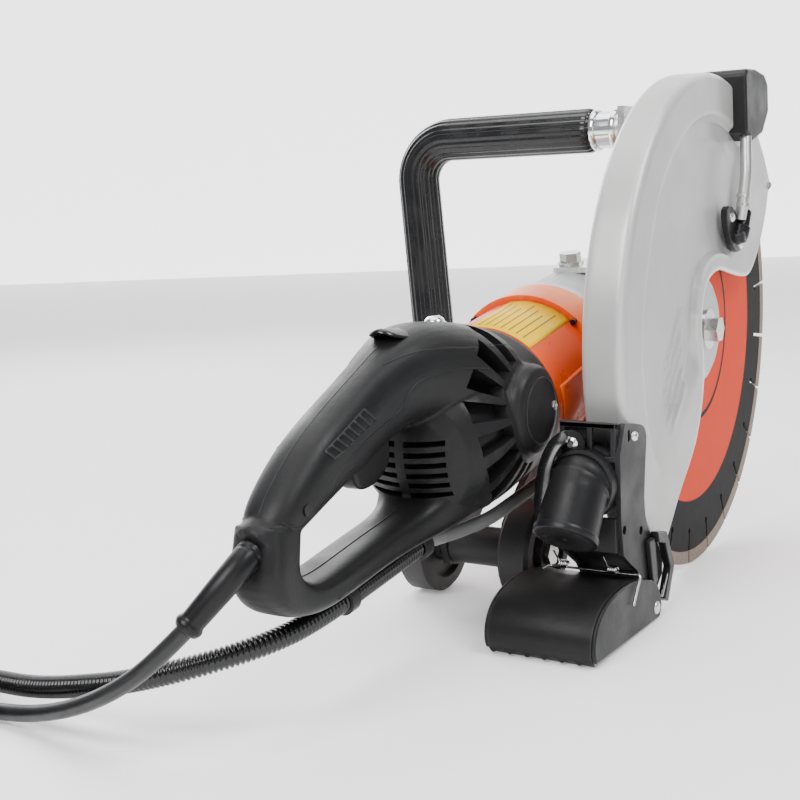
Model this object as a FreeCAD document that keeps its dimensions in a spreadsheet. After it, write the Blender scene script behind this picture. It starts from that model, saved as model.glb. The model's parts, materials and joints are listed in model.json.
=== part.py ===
"""Electric cut-off saw: 355 mm blade, sprung guard, D handle, front tube handle and two wheels.

Every piece is modelled with the blade's centre as the origin, +X towards the blade's front,
+Y from the blade towards the motor and +Z up. The last step of each piece moves it into the
stored frame, whose origin is on the ground under the middle of the machine.
"""
import FreeCAD, Part
import math
import os
import re

import Sketcher

Vector = FreeCAD.Vector
Rotation = FreeCAD.Rotation
Placement = FreeCAD.Placement

DIMENSIONS = {
    # blade and its drive
    "blade_radius": 177.5,
    "blade_thickness": 2.8,
    "segment_height": 9.5,
    "segment_thickness": 3.2,
    "segment_count": 24,
    "slot_width": 2.6,
    "slot_depth": 24,
    "arbor_radius": 12.65,
    "flange_radius": 39,
    "flange_thickness": 6.5,
    "gear_teeth": 41,
    "pinion_teeth": 11,
    "mesh_gap": 0.25,
    # guard
    "guard_radius": 187.4,
    "guard_half_width": 14.5,
    "guard_wall": 2.2,
    "collar_radius": 30,
    "running_gap": 0.05,
    # motor, gear case and rear handle
    "motor_offset": 85,
    "motor_tilt": 10.5,
    "barrel_radius": 53.5,
    "shell_wall": 3,
    "grip_width": 35,
    "housing_radius": 52.5,
    "flange_rim": 57,
    "stator_radius": 48,
    "armature_radius": 27.8,
    "shaft_radius": 6,
    # front handle
    "handle_tilt": 4.5,
    "handle_tube": 13.5,
    "handle_grip": 16.5,
    "handle_wall": 2,
    # wheels
    "wheel_radius": 36,
    "wheel_width": 23,
    "axle_radius": 5,
    "axle_tube": 14,
    "axle_x": -152,
    # dust outlet and hood
    "elbow_radius": 19.5,
    "elbow_wall": 2.5,
    "hood_wall": 3,
    # water and mains
    "water_tube": 4,
    "hose_radius": 4.5,
    "conduit_radius": 6.5,
    "cable_radius": 4.75,
    "coil_radius": 52,
    # stored frame
    "frame_x": 135.38,
    "frame_y": -104.88,
}

doc = FreeCAD.newDocument("cut_off_saw")
sheet = doc.addObject("Spreadsheet::Sheet", "Dimensions")
for row, (alias, size) in enumerate(DIMENSIONS.items(), start=1):
    sheet.set(f"A{row}", alias)
    sheet.set(f"B{row}", str(size))
    sheet.setAlias(f"B{row}", alias)
doc.recompute()

nodes = []


# ---------------------------------------------------------------- helpers


def bound(expression):
    """The same sum with each alias written as a reference to its cell."""
    return re.sub(
        r"[a-z_]+_[a-z]+", lambda word: f"Dimensions.{word.group(0)}", str(expression)
    )


def size(expression):
    """What a sum of cells comes to, in millimetres."""
    return float(sheet.evalExpression(bound(expression)))


GROUND = -size("blade_radius")
TO_FRAME = Placement(Vector(size("frame_x"), size("frame_y"), -GROUND), Rotation())
TILT = Rotation(Vector(0, 1, 0), -size("motor_tilt"))
MOTOR = Placement(Vector(0, size("motor_offset"), 0), TILT)
ACROSS = Placement(Vector(0, 0, 0), Rotation(Vector(0, 0, 1), 90))
HANDLE = Placement(Vector(0, 0, 0), Rotation(Vector(0, 1, 0), size("handle_tilt")))
HERE = Placement()


def at(x, y, z):
    return Placement(Vector(x, y, z), Rotation())


def towards(start, direction):
    """A placement whose own Z runs along direction."""
    return Placement(Vector(start), Rotation(Vector(0, 0, 1), Vector(direction)))


def in_motor(along, across, up):
    """A point of the motor's frame: along its axis, across from it, and up from it."""
    return MOTOR.multVec(Vector(along, across, up))


def keep(piece, name):
    """Files a finished piece under its node's name, in the stored frame."""
    piece.Label = name
    piece.Placement = TO_FRAME.multiply(piece.Placement)
    nodes.append(piece)
    return piece


def turned(name, outline, place=HERE):
    """A body of revolution about its own X. The outline lists (along, radius) sums of cells."""
    body = doc.addObject("PartDesign::Body", name)
    sketch = body.newObject("Sketcher::SketchObject", f"{name}_outline")
    planes = body.Origin.OriginFeatures
    upright = next(plane for plane in planes if plane.Role == "XZ_Plane")
    sketch.AttachmentSupport = [(upright, "")]
    sketch.MapMode = "FlatFace"
    corners = [Vector(size(along), size(radius), 0) for along, radius in outline]
    count = len(corners)
    for index, corner in enumerate(corners):
        sketch.addGeometry(Part.LineSegment(corner, corners[(index + 1) % count]), False)
    for index in range(count):
        joined = Sketcher.Constraint("Coincident", index, 2, (index + 1) % count, 1)
        sketch.addConstraint(joined)
    for index, (along, radius) in enumerate(outline):
        for kind, sum_of_cells in (("DistanceX", along), ("DistanceY", radius)):
            limit = Sketcher.Constraint(kind, -1, 1, index, 1, size(sum_of_cells))
            number = sketch.addConstraint(limit)
            sketch.setExpression(f"Constraints[{number}]", bound(sum_of_cells))
    turn = body.newObject("PartDesign::Revolution", f"{name}_turn")
    turn.Profile = sketch
    turn.ReferenceAxis = (sketch, ["H_Axis"])
    turn.Angle = 360
    body.Placement = place
    return body


def solid_cylinder(name, radius, length, place=HERE):
    piece = doc.addObject("Part::Cylinder", name)
    piece.setExpression("Radius", bound(radius))
    piece.setExpression("Height", bound(length))
    piece.Placement = place
    return piece


def block(name, length, width, height, place=HERE):
    """A box centred on its placement's origin."""
    piece = doc.addObject("Part::Box", name)
    piece.setExpression("Length", bound(length))
    piece.setExpression("Width", bound(width))
    piece.setExpression("Height", bound(height))
    middle = Vector(size(length), size(width), size(height)).multiply(-0.5)
    piece.Placement = place.multiply(Placement(middle, Rotation()))
    return piece


def six_sided(name, across, height, place=HERE):
    """A hexagonal head or nut, across its flats."""
    piece = doc.addObject("Part::Prism", name)
    piece.Polygon = 6
    piece.setExpression("Circumradius", bound(f"({across}) / sqrt(3)"))
    piece.setExpression("Height", bound(height))
    piece.Placement = place
    return piece


def joined(name, pieces):
    fuse = doc.addObject("Part::MultiFuse", name)
    fuse.Shapes = pieces
    return fuse


def gathered(name, pieces):
    """Separate solids that share one node."""
    group = doc.addObject("Part::Compound", name)
    group.Links = pieces
    return group


def without(name, base, tool):
    cut = doc.addObject("Part::Cut", name)
    cut.Base = base
    cut.Tool = tool
    return cut


def shaped(name, shape):
    """A piece whose form comes from curves that no primitive has."""
    piece = doc.addObject("Part::Feature", name)
    piece.Shape = shape
    return piece


def side_face(points):
    """A flat face in the XZ plane from its (x, z) corners."""
    corners = [Vector(x, 0, z) for x, z in points]
    return Part.Face(Part.makePolygon(corners + corners[:1]))


def slab(face, start, end):
    """A side face given thickness from y = start to y = end."""
    moved = face.copy()
    moved.translate(Vector(0, start, 0))
    return moved.extrude(Vector(0, end - start, 0))


def bent_path(points, radii=None):
    """Straight runs joined by tangent arcs. Without radii each arc is as large as its runs allow."""
    corners = [Vector(*point) for point in points]
    edges = []
    reached = corners[0]
    found = []
    for index in range(1, len(corners) - 1):
        before = corners[index - 1] - corners[index]
        after = corners[index + 1] - corners[index]
        turn = math.pi - before.getAngle(after)
        shorter = min(before.Length, after.Length)
        radius = radii[index - 1] if radii else 0.45 * shorter / math.tan(turn / 2)
        back = radius * math.tan(turn / 2)
        before.normalize()
        after.normalize()
        start = corners[index] + before * back
        end = corners[index] + after * back
        inward = (before + after).normalize()
        middle = corners[index] + inward * (radius / math.cos(turn / 2) - radius)
        edges.append(Part.LineSegment(reached, start).toShape())
        edges.append(Part.Arc(start, middle, end).toShape())
        reached = end
        found.append(radius)
    edges.append(Part.LineSegment(reached, corners[-1]).toShape())
    return Part.Wire(edges), found


def tube_along(path, radius):
    """A round solid rod along a path."""
    first = path.OrderedEdges[0]
    start = first.valueAt(first.FirstParameter)
    direction = first.tangentAt(first.FirstParameter)
    ring = Part.Wire([Part.makeCircle(radius, start, direction)])
    return path.makePipeShell([ring], True, False)


def free_line(name, points, radius):
    """The plain tube of a free cord or hose, checked against its section times its length."""
    path, radii = bent_path(points)
    tube = tube_along(path, radius)
    expected = math.pi * radius * radius * path.Length
    print(name, "length", round(path.Length, 1), "radii", [round(r) for r in radii])
    if abs(tube.Volume / expected - 1) > 0.01:
        raise RuntimeError(f"{name} has the wrong volume")
    return keep(shaped(name, tube), name)


# ---------------------------------------------------------------- blade and spindle


def blade():
    """A steel disc with keyhole slots, and a diamond segment between each pair of slots."""
    count = int(size("segment_count"))
    inner = "blade_radius - segment_height"
    bored = [
        ("-blade_thickness / 2", "arbor_radius + running_gap"),
        ("-blade_thickness / 2", inner),
        ("blade_thickness / 2", inner),
        ("blade_thickness / 2", "arbor_radius + running_gap"),
    ]
    rim = [
        ("-segment_thickness / 2", inner),
        ("-segment_thickness / 2", "blade_radius"),
        ("segment_thickness / 2", "blade_radius"),
        ("segment_thickness / 2", inner),
    ]
    core_gaps = []
    rim_gaps = []
    for index in range(count):
        spoke = Placement(Vector(), Rotation(Vector(0, 1, 0), 360 * (index + 0.5) / count))
        middle = size("blade_radius - slot_depth / 2")
        gap = spoke.multiply(at(middle, 0, 0))
        end = spoke.multiply(at(size("blade_radius - slot_depth"), -5, 0))
        end = end.multiply(towards((0, 0, 0), (0, 1, 0)))
        core_gaps.append(block(f"slot_{index}", "slot_depth", "10", "slot_width", gap))
        core_gaps.append(solid_cylinder(f"slot_end_{index}", "slot_width", "10", end))
        rim_gaps.append(block(f"gap_{index}", "slot_depth", "10", "slot_width", gap))
    disc = turned("blade_disc", bored, ACROSS)
    keep(without("blade_core", disc, joined("slots", core_gaps)), "blade_core")
    band = turned("segment_band", rim, ACROSS)
    keep(without("blade_segments", band, joined("gaps", rim_gaps)), "blade_segments")


def flanges():
    """The two clamping flanges, each with a raised rim that bears on the blade."""
    face = "blade_thickness / 2"
    back = "blade_thickness / 2 + flange_thickness"
    outline = [
        (face, "flange_radius - 9"),
        (face, "flange_radius"),
        (f"{back} - 3", "flange_radius"),
        (back, "flange_radius - 6"),
        (back, "arbor_radius + running_gap"),
        (f"{face} + 1", "arbor_radius + running_gap"),
        (f"{face} + 1", "flange_radius - 9"),
    ]
    keep(turned("inner_flange", outline, ACROSS), "inner_flange")
    flipped = Placement(Vector(), Rotation(Vector(0, 0, 1), -90))
    keep(turned("outer_flange", outline, flipped), "outer_flange")


def spindle():
    nose = "-blade_thickness / 2 - flange_thickness + 0.5"
    outline = [
        (nose, "5.05"),
        (nose, "arbor_radius"),
        ("blade_thickness / 2 + flange_thickness", "arbor_radius"),
        ("blade_thickness / 2 + flange_thickness", "15"),
        ("40", "15"),
        ("40", "12.5"),
        ("57.5", "12.5"),
        ("57.5", "11"),
        ("76", "11"),
        ("76", "8"),
        ("motor_offset + 29", "8"),
        ("motor_offset + 29", "0"),
        ("22", "0"),
        ("22", "5.05"),
    ]
    keep(turned("spindle", outline, ACROSS), "spindle")


def blade_bolt():
    """The bolt and its loose washer, which clamp the flanges on the spindle."""
    face = size("-blade_thickness / 2 - flange_thickness")
    outwards = (0, -1, 0)
    washer = turned(
        "washer_ring", [("0", "5.2"), ("0", "15"), ("3", "15"), ("3", "5.2")],
        Placement(Vector(0, face - 3, 0), Rotation(Vector(0, 0, 1), 90)),
    )
    head = six_sided("bolt_head", "17", "8", towards((0, face - 3, 0), outwards))
    shank = solid_cylinder("bolt_shank", "5", "28", towards((0, face + 25, 0), outwards))
    keep(gathered("blade_bolt", [washer, joined("bolt", [head, shank])]), "blade_bolt")


def bevel_gears():
    """A crown wheel on the spindle and a pinion on the motor shaft, with their pitch cones' tips
    together. The teeth are grooves below the pitch cones, so the pair rolls without touching."""
    face_width = 9
    gear_teeth = int(size("gear_teeth"))
    pinion_teeth = int(size("pinion_teeth"))
    gear_radius = 31
    pitch = math.atan2(pinion_teeth, gear_teeth)
    pinion_radius = gear_radius * math.tan(pitch)
    narrow = 1 - face_width / math.hypot(gear_radius, pinion_radius)
    crown_y = size("motor_offset - mesh_gap")
    rim_y = crown_y - pinion_radius
    outline = [
        ("60", "11.05"), ("60", "22"), (rim_y - 7, gear_radius), (rim_y, gear_radius),
        (crown_y - pinion_radius * narrow, gear_radius * narrow), ("72", "19"), ("72", "11.05"),
    ]
    crown = turned("crown_blank", outline, ACROSS)
    grooves = []
    for index in range(gear_teeth):
        spoke = Rotation(Vector(0, 1, 0), 360 * index / gear_teeth)
        spot = Placement(Vector(0, rim_y + 1, 0), spoke).multiply(at(27, 0, 0))
        grooves.append(block(f"crown_groove_{index}", "16", "3.4", "1.9", spot))
    keep(without("spindle_gear", crown, joined("crown_grooves", grooves)), "spindle_gear")

    slack = size("mesh_gap")
    blank = turned("pinion_blank", [
        (-gear_radius - 8, "0"), (-gear_radius - 8, pinion_radius - slack),
        (-gear_radius, pinion_radius - slack),
        (-gear_radius * narrow, pinion_radius * narrow - slack), (-gear_radius * narrow, "0"),
    ])
    grooves = []
    for index in range(pinion_teeth):
        spoke = Rotation(Vector(1, 0, 0), 360 * (index + 0.5) / pinion_teeth)
        spot = Placement(Vector(), spoke).multiply(at(-gear_radius, 0, pinion_radius))
        grooves.append(block(f"pinion_groove_{index}", "40", "1.9", "3.4", spot))
    toothed = without("pinion", blank, joined("pinion_grooves", grooves))
    toothed.Placement = MOTOR
    keep(toothed, "pinion")


# ---------------------------------------------------------------- motor


def armature():
    """The rotor: shaft, laminated core, commutator and fan. The pinion is on its front end."""
    shaft = [("-248", "0"), ("-248", "5"), ("-236", "5"), ("-236", "shaft_radius"),
             ("-39", "shaft_radius"), ("-39", "0")]
    keep(turned("armature_shaft", shaft, MOTOR), "armature_shaft")

    core = turned("core_blank", [("-176", "shaft_radius"), ("-176", "armature_radius"),
                                 ("-124", "armature_radius"), ("-124", "shaft_radius")])
    slots = []
    for index in range(12):
        spoke = Placement(Vector(), Rotation(Vector(1, 0, 0), 30 * index))
        spot = spoke.multiply(at(-150, 0, size("armature_radius")))
        slots.append(block(f"core_slot_{index}", "60", "3", "8", spot))
    laminated = without("armature_core", core, joined("core_slots", slots))
    laminated.Placement = MOTOR
    keep(laminated, "armature_core")

    bars = turned("commutator_blank", [("-222", "shaft_radius"), ("-222", "15"), ("-202", "15"),
                                       ("-200", "18"), ("-197", "18"), ("-197", "shaft_radius")])
    gaps = []
    for index in range(24):
        spoke = Placement(Vector(), Rotation(Vector(1, 0, 0), 15 * index))
        gaps.append(block(f"bar_gap_{index}", "19", "0.6", "2", spoke.multiply(at(-213, 0, 15))))
    barred = without("commutator", bars, joined("bar_gaps", gaps))
    barred.Placement = MOTOR
    keep(barred, "commutator")

    disc = turned("fan_disc", [("-108", "shaft_radius"), ("-108", "14"), ("-100", "16"),
                               ("-100", "44"), ("-98", "44"), ("-98", "shaft_radius")])
    vanes = [disc]
    for index in range(11):
        spoke = Placement(Vector(), Rotation(Vector(1, 0, 0), 360 * index / 11))
        vane = spoke.multiply(at(-104, 0, 29))
        vanes.append(block(f"vane_{index}", "8.4", "2", "28", vane))
    fan = joined("cooling_fan", vanes)
    fan.Placement = MOTOR
    keep(fan, "cooling_fan")


def stator():
    core = [("-178", "armature_radius + 0.7"), ("-178", "stator_radius"),
            ("-122", "stator_radius"), ("-122", "armature_radius + 0.7")]
    keep(turned("stator_core", core, MOTOR), "stator_core")
    rear = turned("winding_rear", [("-189", "33"), ("-191", "38"), ("-189", "43"),
                                   ("-178", "44"), ("-178", "31")], MOTOR)
    front = turned("winding_front", [("-122", "31"), ("-122", "44"), ("-113", "43"),
                                     ("-111", "38"), ("-113", "33")], MOTOR)
    keep(gathered("stator_windings", [rear, front]), "stator_windings")


def motor_housing():
    """The orange housing: a barrel with a bolted front flange and a spigot for the rear handle."""
    outline = [
        ("-86", "flange_rim - 7"), ("-86", "flange_rim"), ("-116", "flange_rim"),
        ("-116", "housing_radius"), ("-183", "housing_radius"), ("-183", "50.2"),
        ("-193", "50.2"), ("-228", "44"),
        ("-236", "38"), ("-238", "15"), ("-252", "15"), ("-252", "0"), ("-249", "0"),
        ("-249", "11"), ("-234", "11.4"), ("-233", "36"), ("-226", "41"), ("-192", "44"),
        ("-190", "stator_radius"), ("-93", "stator_radius"), ("-93", "flange_rim - 7"),
    ]
    keep(turned("motor_housing", outline, MOTOR), "motor_housing")


def bearings():
    """Ball bearings, each a plain ring: two on the armature and two on the spindle."""
    bore_front = "shaft_radius + 2 * running_gap"
    bore_rear = "5 + 2 * running_gap"
    ring_front = [("-92", bore_front), ("-92", "13"), ("-84", "13"), ("-84", bore_front)]
    ring_rear = [("-248", bore_rear), ("-248", "11"), ("-240", "11"), ("-240", bore_rear)]
    front = turned("bearing_front", ring_front, MOTOR)
    rear = turned("bearing_rear", ring_rear, MOTOR)
    keep(gathered("armature_bearings", [front, rear]), "armature_bearings")
    near = [("42", "12.5"), ("42", "26"), ("57", "26"), ("57", "12.5")]
    far = [("motor_offset + 19", "8"), ("motor_offset + 19", "17.5"),
           ("motor_offset + 28.5", "17.5"), ("motor_offset + 28.5", "8")]
    pair = [turned("bearing_near", near, ACROSS), turned("bearing_far", far, ACROSS)]
    keep(gathered("spindle_bearings", pair), "spindle_bearings")


def bearing_plate():
    outline = [("-93", "13"), ("-93", "flange_rim - 7"), ("-86.1", "flange_rim - 7"),
               ("-86.1", "25"), ("-84", "22"), ("-84", "13")]
    keep(turned("bearing_plate", outline, MOTOR), "bearing_plate")


def brushes():
    """Two spring-loaded carbon brushes, one each side of the commutator, in their holders."""
    holders = []
    carbons = []
    for side in (-1, 1):
        spot = MOTOR.multiply(at(-212, side * 28, 0))
        hole = MOTOR.multiply(at(-212, side * 25, 0))
        outer = block(f"holder_block_{side}", "13", "18", "11", spot)
        inner = block(f"holder_hole_{side}", "9", "40", "7", hole)
        holders.append(without(f"holder_{side}", outer, inner))
        place = MOTOR.multiply(at(-212, side * 24.3, 0))
        carbons.append(block(f"carbon_{side}", "8.9", "18", "6.9", place))
    keep(gathered("brush_holders", holders), "brush_holders")
    keep(gathered("carbon_brushes", carbons), "carbon_brushes")


# ---------------------------------------------------------------- gear case


LUG_MIDDLE = (-38, 124, -49)


def gear_case():
    """A cast head: a tapered shell round the bevel gears with a boss towards the blade."""
    outer = turned("case_outer", [
        ("-86", "0"), ("-86", "flange_rim"), ("-79", "flange_rim"), ("-77", "54"), ("-19", "52"),
        ("18", "47"), ("38", "37"), ("48", "21"), ("48", "0")], MOTOR)
    boss = solid_cylinder("case_boss", "38", "motor_offset - 26", towards((0, 26, 0), (0, 1, 0)))
    collar = solid_cylinder("case_collar", "collar_radius", "20", towards((0, 13, 0), (0, 1, 0)))
    cap_at = towards((0, size("motor_offset") + 30, 0), (0, 1, 0))
    cap = solid_cylinder("case_cap", "27", "21", cap_at)
    lug = block("handle_lug", "32", "26", "30", at(*LUG_MIDDLE))
    inner = turned("case_inner", [
        ("-90", "0"), ("-90", "49"), ("-22", "46"), ("14", "41"), ("33", "31"), ("41", "18"),
        ("41", "0")], MOTOR)
    bore = solid_cylinder("case_bore", "26", "motor_offset - 42", towards((0, 42, 0), (0, 1, 0)))
    neck = solid_cylinder("case_neck", "16", "60", towards((0, 0, 0), (0, 1, 0)))
    pocket_at = towards((0, size("motor_offset") + 10, 0), (0, 1, 0))
    pocket = solid_cylinder("case_pocket", "17.5", "20", pocket_at)
    screw_at = Vector(*LUG_MIDDLE) - Vector(0, 0, 16)
    screw_hole = solid_cylinder("lug_hole", "4", "21", towards(screw_at, (0, 0, 1)))
    solid = joined("case_solid", [outer, boss, collar, cap, lug])
    hollow = joined("case_hollow", [inner, bore, neck, pocket, screw_hole])
    keep(without("gear_case", solid, hollow), "gear_case")


def gear_case_bolt():
    """The hexagon bolt, with its washer, that holds the front handle's strap on the case."""
    foot = in_motor(-20, 3, 56.5)
    up = MOTOR.Rotation.multVec(Vector(0, 0, 1))
    washer = solid_cylinder("case_washer", "10", "1.8", towards(foot, up))
    head = six_sided("case_bolt_head", "14", "6.5", towards(foot + up * 1.8, up))
    shank = solid_cylinder("case_bolt_shank", "3.6", "4", towards(foot - up * 4, up))
    keep(joined("gear_case_bolt", [washer, head, shank]), "gear_case_bolt")


SHELL_SCREWS = [(-420, 24), (-405, -31), (-312, 52)]
SCREW_DEPTH = 1.4


def housing_screws():
    """Screws of the front flange, and of the rear handle's clamshell on its right side."""
    screws = []
    ahead = MOTOR.Rotation.multVec(Vector(1, 0, 0))
    middle = (size("housing_radius") + size("flange_rim")) / 2
    for degrees in (45, 135, 225, 315):
        turn = math.radians(degrees)
        spot = in_motor(-116, middle * math.cos(turn), middle * math.sin(turn))
        place = towards(spot, ahead * -1)
        screws.append(solid_cylinder(f"flange_screw_{degrees}", "2", "3.5", place))
    right = (0, -1, 0)
    depth = SCREW_DEPTH - size("grip_width") / 2
    for along, up in SHELL_SCREWS:
        place = towards(in_motor(along, depth, up), right)
        screws.append(solid_cylinder(f"shell_screw_{-along}", "3.2", "1.2", place))
    keep(gathered("housing_screws", screws), "housing_screws")


# ---------------------------------------------------------------- rear handle

GRIP_OUTLINE = [
    (-215, 40), (-221, 60), (-239, 69), (-262, 75), (-291, 79), (-322, 74), (-345, 68),
    (-370, 62), (-387, 57), (-403, 51), (-419, 43), (-434, 33), (-445, 14), (-457, -6),
    (-452, -16), (-439, -25), (-426, -32), (-410, -38), (-380, -40), (-333, -41), (-291, -44),
    (-258, -46), (-225, -40),
]
LOOP_OUTLINE = [
    (-303, 29), (-318, 26), (-336, 22), (-354, 19), (-387, 15), (-410, 12.5), (-424, 7),
    (-430, -2), (-430, -9), (-425, -16), (-414, -20), (-378, -22), (-350, -22.5), (-324, -24),
    (-306, -25), (-301, -17), (-304, 5),
]
GRIP_CAVITY = [
    (-309, 33), (-340, 27), (-372, 22), (-408, 18), (-428, 15), (-441, 13), (-438, 24),
    (-426, 35), (-404, 46), (-370, 57.5), (-322, 69.5), (-309, 72),
]


def rear_handle():
    """The D handle and motor cover, moulded in one piece and split along the motor's axis."""
    half = size("grip_width / 2")
    wall = size("shell_wall")
    barrel = size("barrel_radius")
    grip = slab(side_face(GRIP_OUTLINE), -half, half)
    grip = grip.makeChamfer(5, [e for e in grip.Edges if e.Length > 1 and is_rim(e, half)])
    drum = revolved([(-183.4, 0), (-183.4, barrel), (-268, barrel), (-288, 48), (-299, 34),
                     (-302, 12), (-302, 0)])
    loop = slab(side_face(LOOP_OUTLINE), -half - 1, half + 1)
    solid = drum.fuse(grip).cut(loop.cut(drum))
    room = revolved([(-180, 0), (-180, barrel - wall), (-266, barrel - wall), (-285, 44.5),
                     (-295.5, 31.5), (-298.5, 11), (-298.5, 0)])
    cavity = slab(side_face(GRIP_CAVITY), -half + wall, half - wall)
    gland = Part.makeCylinder(10.5, 30, Vector(-434, 0, 15.2), Vector(-0.97, 0, -0.25))
    gland = gland.fuse(Part.makeCylinder(5, 20, Vector(-440, 0, 14), Vector(1, 0, 0.1)))
    slot = Part.makeBox(43, 14, 30, Vector(-359.5, -7, 10))
    button = Part.makeCylinder(7.3, 20, Vector(-330, half - 6, 48), Vector(0, 1, 0))
    solid = solid.cut(room).cut(cavity).cut(gland).cut(slot).cut(button)
    for along, up in SHELL_SCREWS:
        outside = Vector(along, -half - 1, up)
        solid = solid.cut(Part.makeCylinder(3.4, 1 + SCREW_DEPTH, outside, Vector(0, 1, 0)))
    for index in range(6):
        vent = Part.makeBox(40, 70, 3.2, Vector(-320, -35, -17 + 7 * index))
        solid = solid.cut(vent.common(revolved([(-310, 0), (-310, 38), (-288, 38), (-288, 0)])))
    for index in range(9):
        vent = Part.makeBox(48, 30, 3.6, Vector(18, -70, -1.8))
        vent.rotate(Vector(), Vector(0, 1, 0), 100 + 20 * index)
        vent.translate(Vector(-218, 0, 4))
        solid = solid.cut(vent)
    reach = 200
    right = Part.makeBox(300, reach, 300, Vector(-470, -reach, -150))
    left = Part.makeBox(300, reach, 300, Vector(-470, 0, -150))
    for name, side in (("handle_shell_right", right), ("handle_shell_left", left)):
        piece = shaped(name, solid.common(side).removeSplitter())
        piece.Placement = MOTOR
        keep(piece, name)


def is_rim(edge, half):
    """Whether an edge lies all in one of a slab's two flat sides."""
    return all(abs(abs(corner.Point.y) - half) < 0.01 for corner in edge.Vertexes) and (
        abs(edge.Vertexes[0].Point.y - edge.Vertexes[-1].Point.y) < 0.01)


def revolved(outline):
    """A solid turned about the X axis from its (along, radius) corners."""
    corners = [Vector(along, 0, radius) for along, radius in outline]
    face = Part.Face(Part.makePolygon(corners + corners[:1]))
    return face.revolve(Vector(), Vector(1, 0, 0), 360)


def controls():
    """The trigger under the grip, the lock button on its left side and the switch behind them."""
    lever = [(-358, 8), (-350, 4), (-330, 4), (-321, 7), (-318, 12), (-318, 36), (-358, 36)]
    trigger = shaped("trigger", slab(side_face(lever), -6.6, 6.6))
    trigger.Placement = MOTOR
    keep(trigger, "trigger")
    half = size("grip_width / 2")
    button_at = MOTOR.multiply(towards((-330, half - 7, 48), (0, 1, 0)))
    keep(solid_cylinder("lock_button", "7", "11", button_at), "lock_button")
    keep(block("switch_body", "44", "17", "14", MOTOR.multiply(at(-338, -2.6, 51))), "switch_body")


def handle_trim():
    """The thin rubber leaf on the ridge of the cover, and the domed screw beside it."""
    leaf = [(-297, 84.5), (-292, 81), (-268, 79), (-240, 73), (-228, 69), (-229, 71.5),
            (-240, 76), (-268, 82), (-285, 84)]
    flap = shaped("top_flap", slab(side_face(leaf), -9, 9))
    flap.Placement = MOTOR
    keep(flap, "top_flap")


# ---------------------------------------------------------------- front handle

FRONT_HANDLE = [(-34, 52, 148), (-34, 226, 148), (-34, 202, -52), (-34, 137, -52)]
FRONT_HANDLE_BENDS = [30, 34]


def front_handle():
    """A bent steel tube with a fluted rubber sleeve over its top run, bend and long leg."""
    tube = size("handle_tube")
    path, _ = bent_path(FRONT_HANDLE, FRONT_HANDLE_BENDS)
    metal = tube_along(path, tube).cut(tube_along(path, tube - size("handle_wall")))
    metal_piece = shaped("front_handle_tube", metal)
    metal_piece.Placement = HANDLE
    keep(metal_piece, "front_handle_tube")
    sleeve_path, _ = bent_path([(-34, 70, 148), (-34, 226, 148), (-34, 206.8, -11)], [30])
    sleeve = tube_along(sleeve_path, size("handle_grip")).cut(tube_along(sleeve_path, tube))
    sleeve_piece = shaped("front_handle_grip", sleeve)
    sleeve_piece.Placement = HANDLE
    keep(sleeve_piece, "front_handle_grip")


def front_handle_bracket():
    """The strap from the tube's top end down to the gear case, with its bolted foot."""
    top = HANDLE.multVec(Vector(*FRONT_HANDLE[0]))
    behind = top.y - 7.5
    plug = solid_cylinder("end_plug", "handle_tube", "5", towards(top, (0, -1, 0)))
    strap = block("end_strap", "26", "5", "118", at(top.x, behind, top.z - 43))
    foot = block("strap_foot", "30", "56", "4", Placement(in_motor(-20, -17, 54.5), TILT))
    whole = joined("strap_solid", [plug, strap, foot])
    up = MOTOR.Rotation.multVec(Vector(0, 0, 1))
    clear = solid_cylinder("foot_hole", "3.7", "30", towards(in_motor(-20, 3, 40), up))
    keep(without("front_handle_bracket", whole, clear), "front_handle_bracket")


def front_handle_bolts():
    """One bolt through the strap into the tube's end, one up through the gear case's lug."""
    top = HANDLE.multVec(Vector(*FRONT_HANDLE[0]))
    outer = Vector(top.x, top.y - 10, top.z)
    upper = joined("upper_bolt", [
        solid_cylinder("upper_washer", "9", "2", towards(outer, (0, -1, 0))),
        six_sided("upper_head", "13", "6", towards(outer + Vector(0, -2, 0), (0, -1, 0))),
    ])
    under = Vector(*LUG_MIDDLE) - Vector(0, 0, 15)
    lower = joined("lower_bolt", [
        six_sided("lower_head", "13", "6", towards(under, (0, 0, -1))),
        solid_cylinder("lower_shank", "4", "20", towards(under, (0, 0, 1))),
    ])
    keep(gathered("front_handle_bolts", [upper, lower]), "front_handle_bolts")


# ---------------------------------------------------------------- wheels


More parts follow.
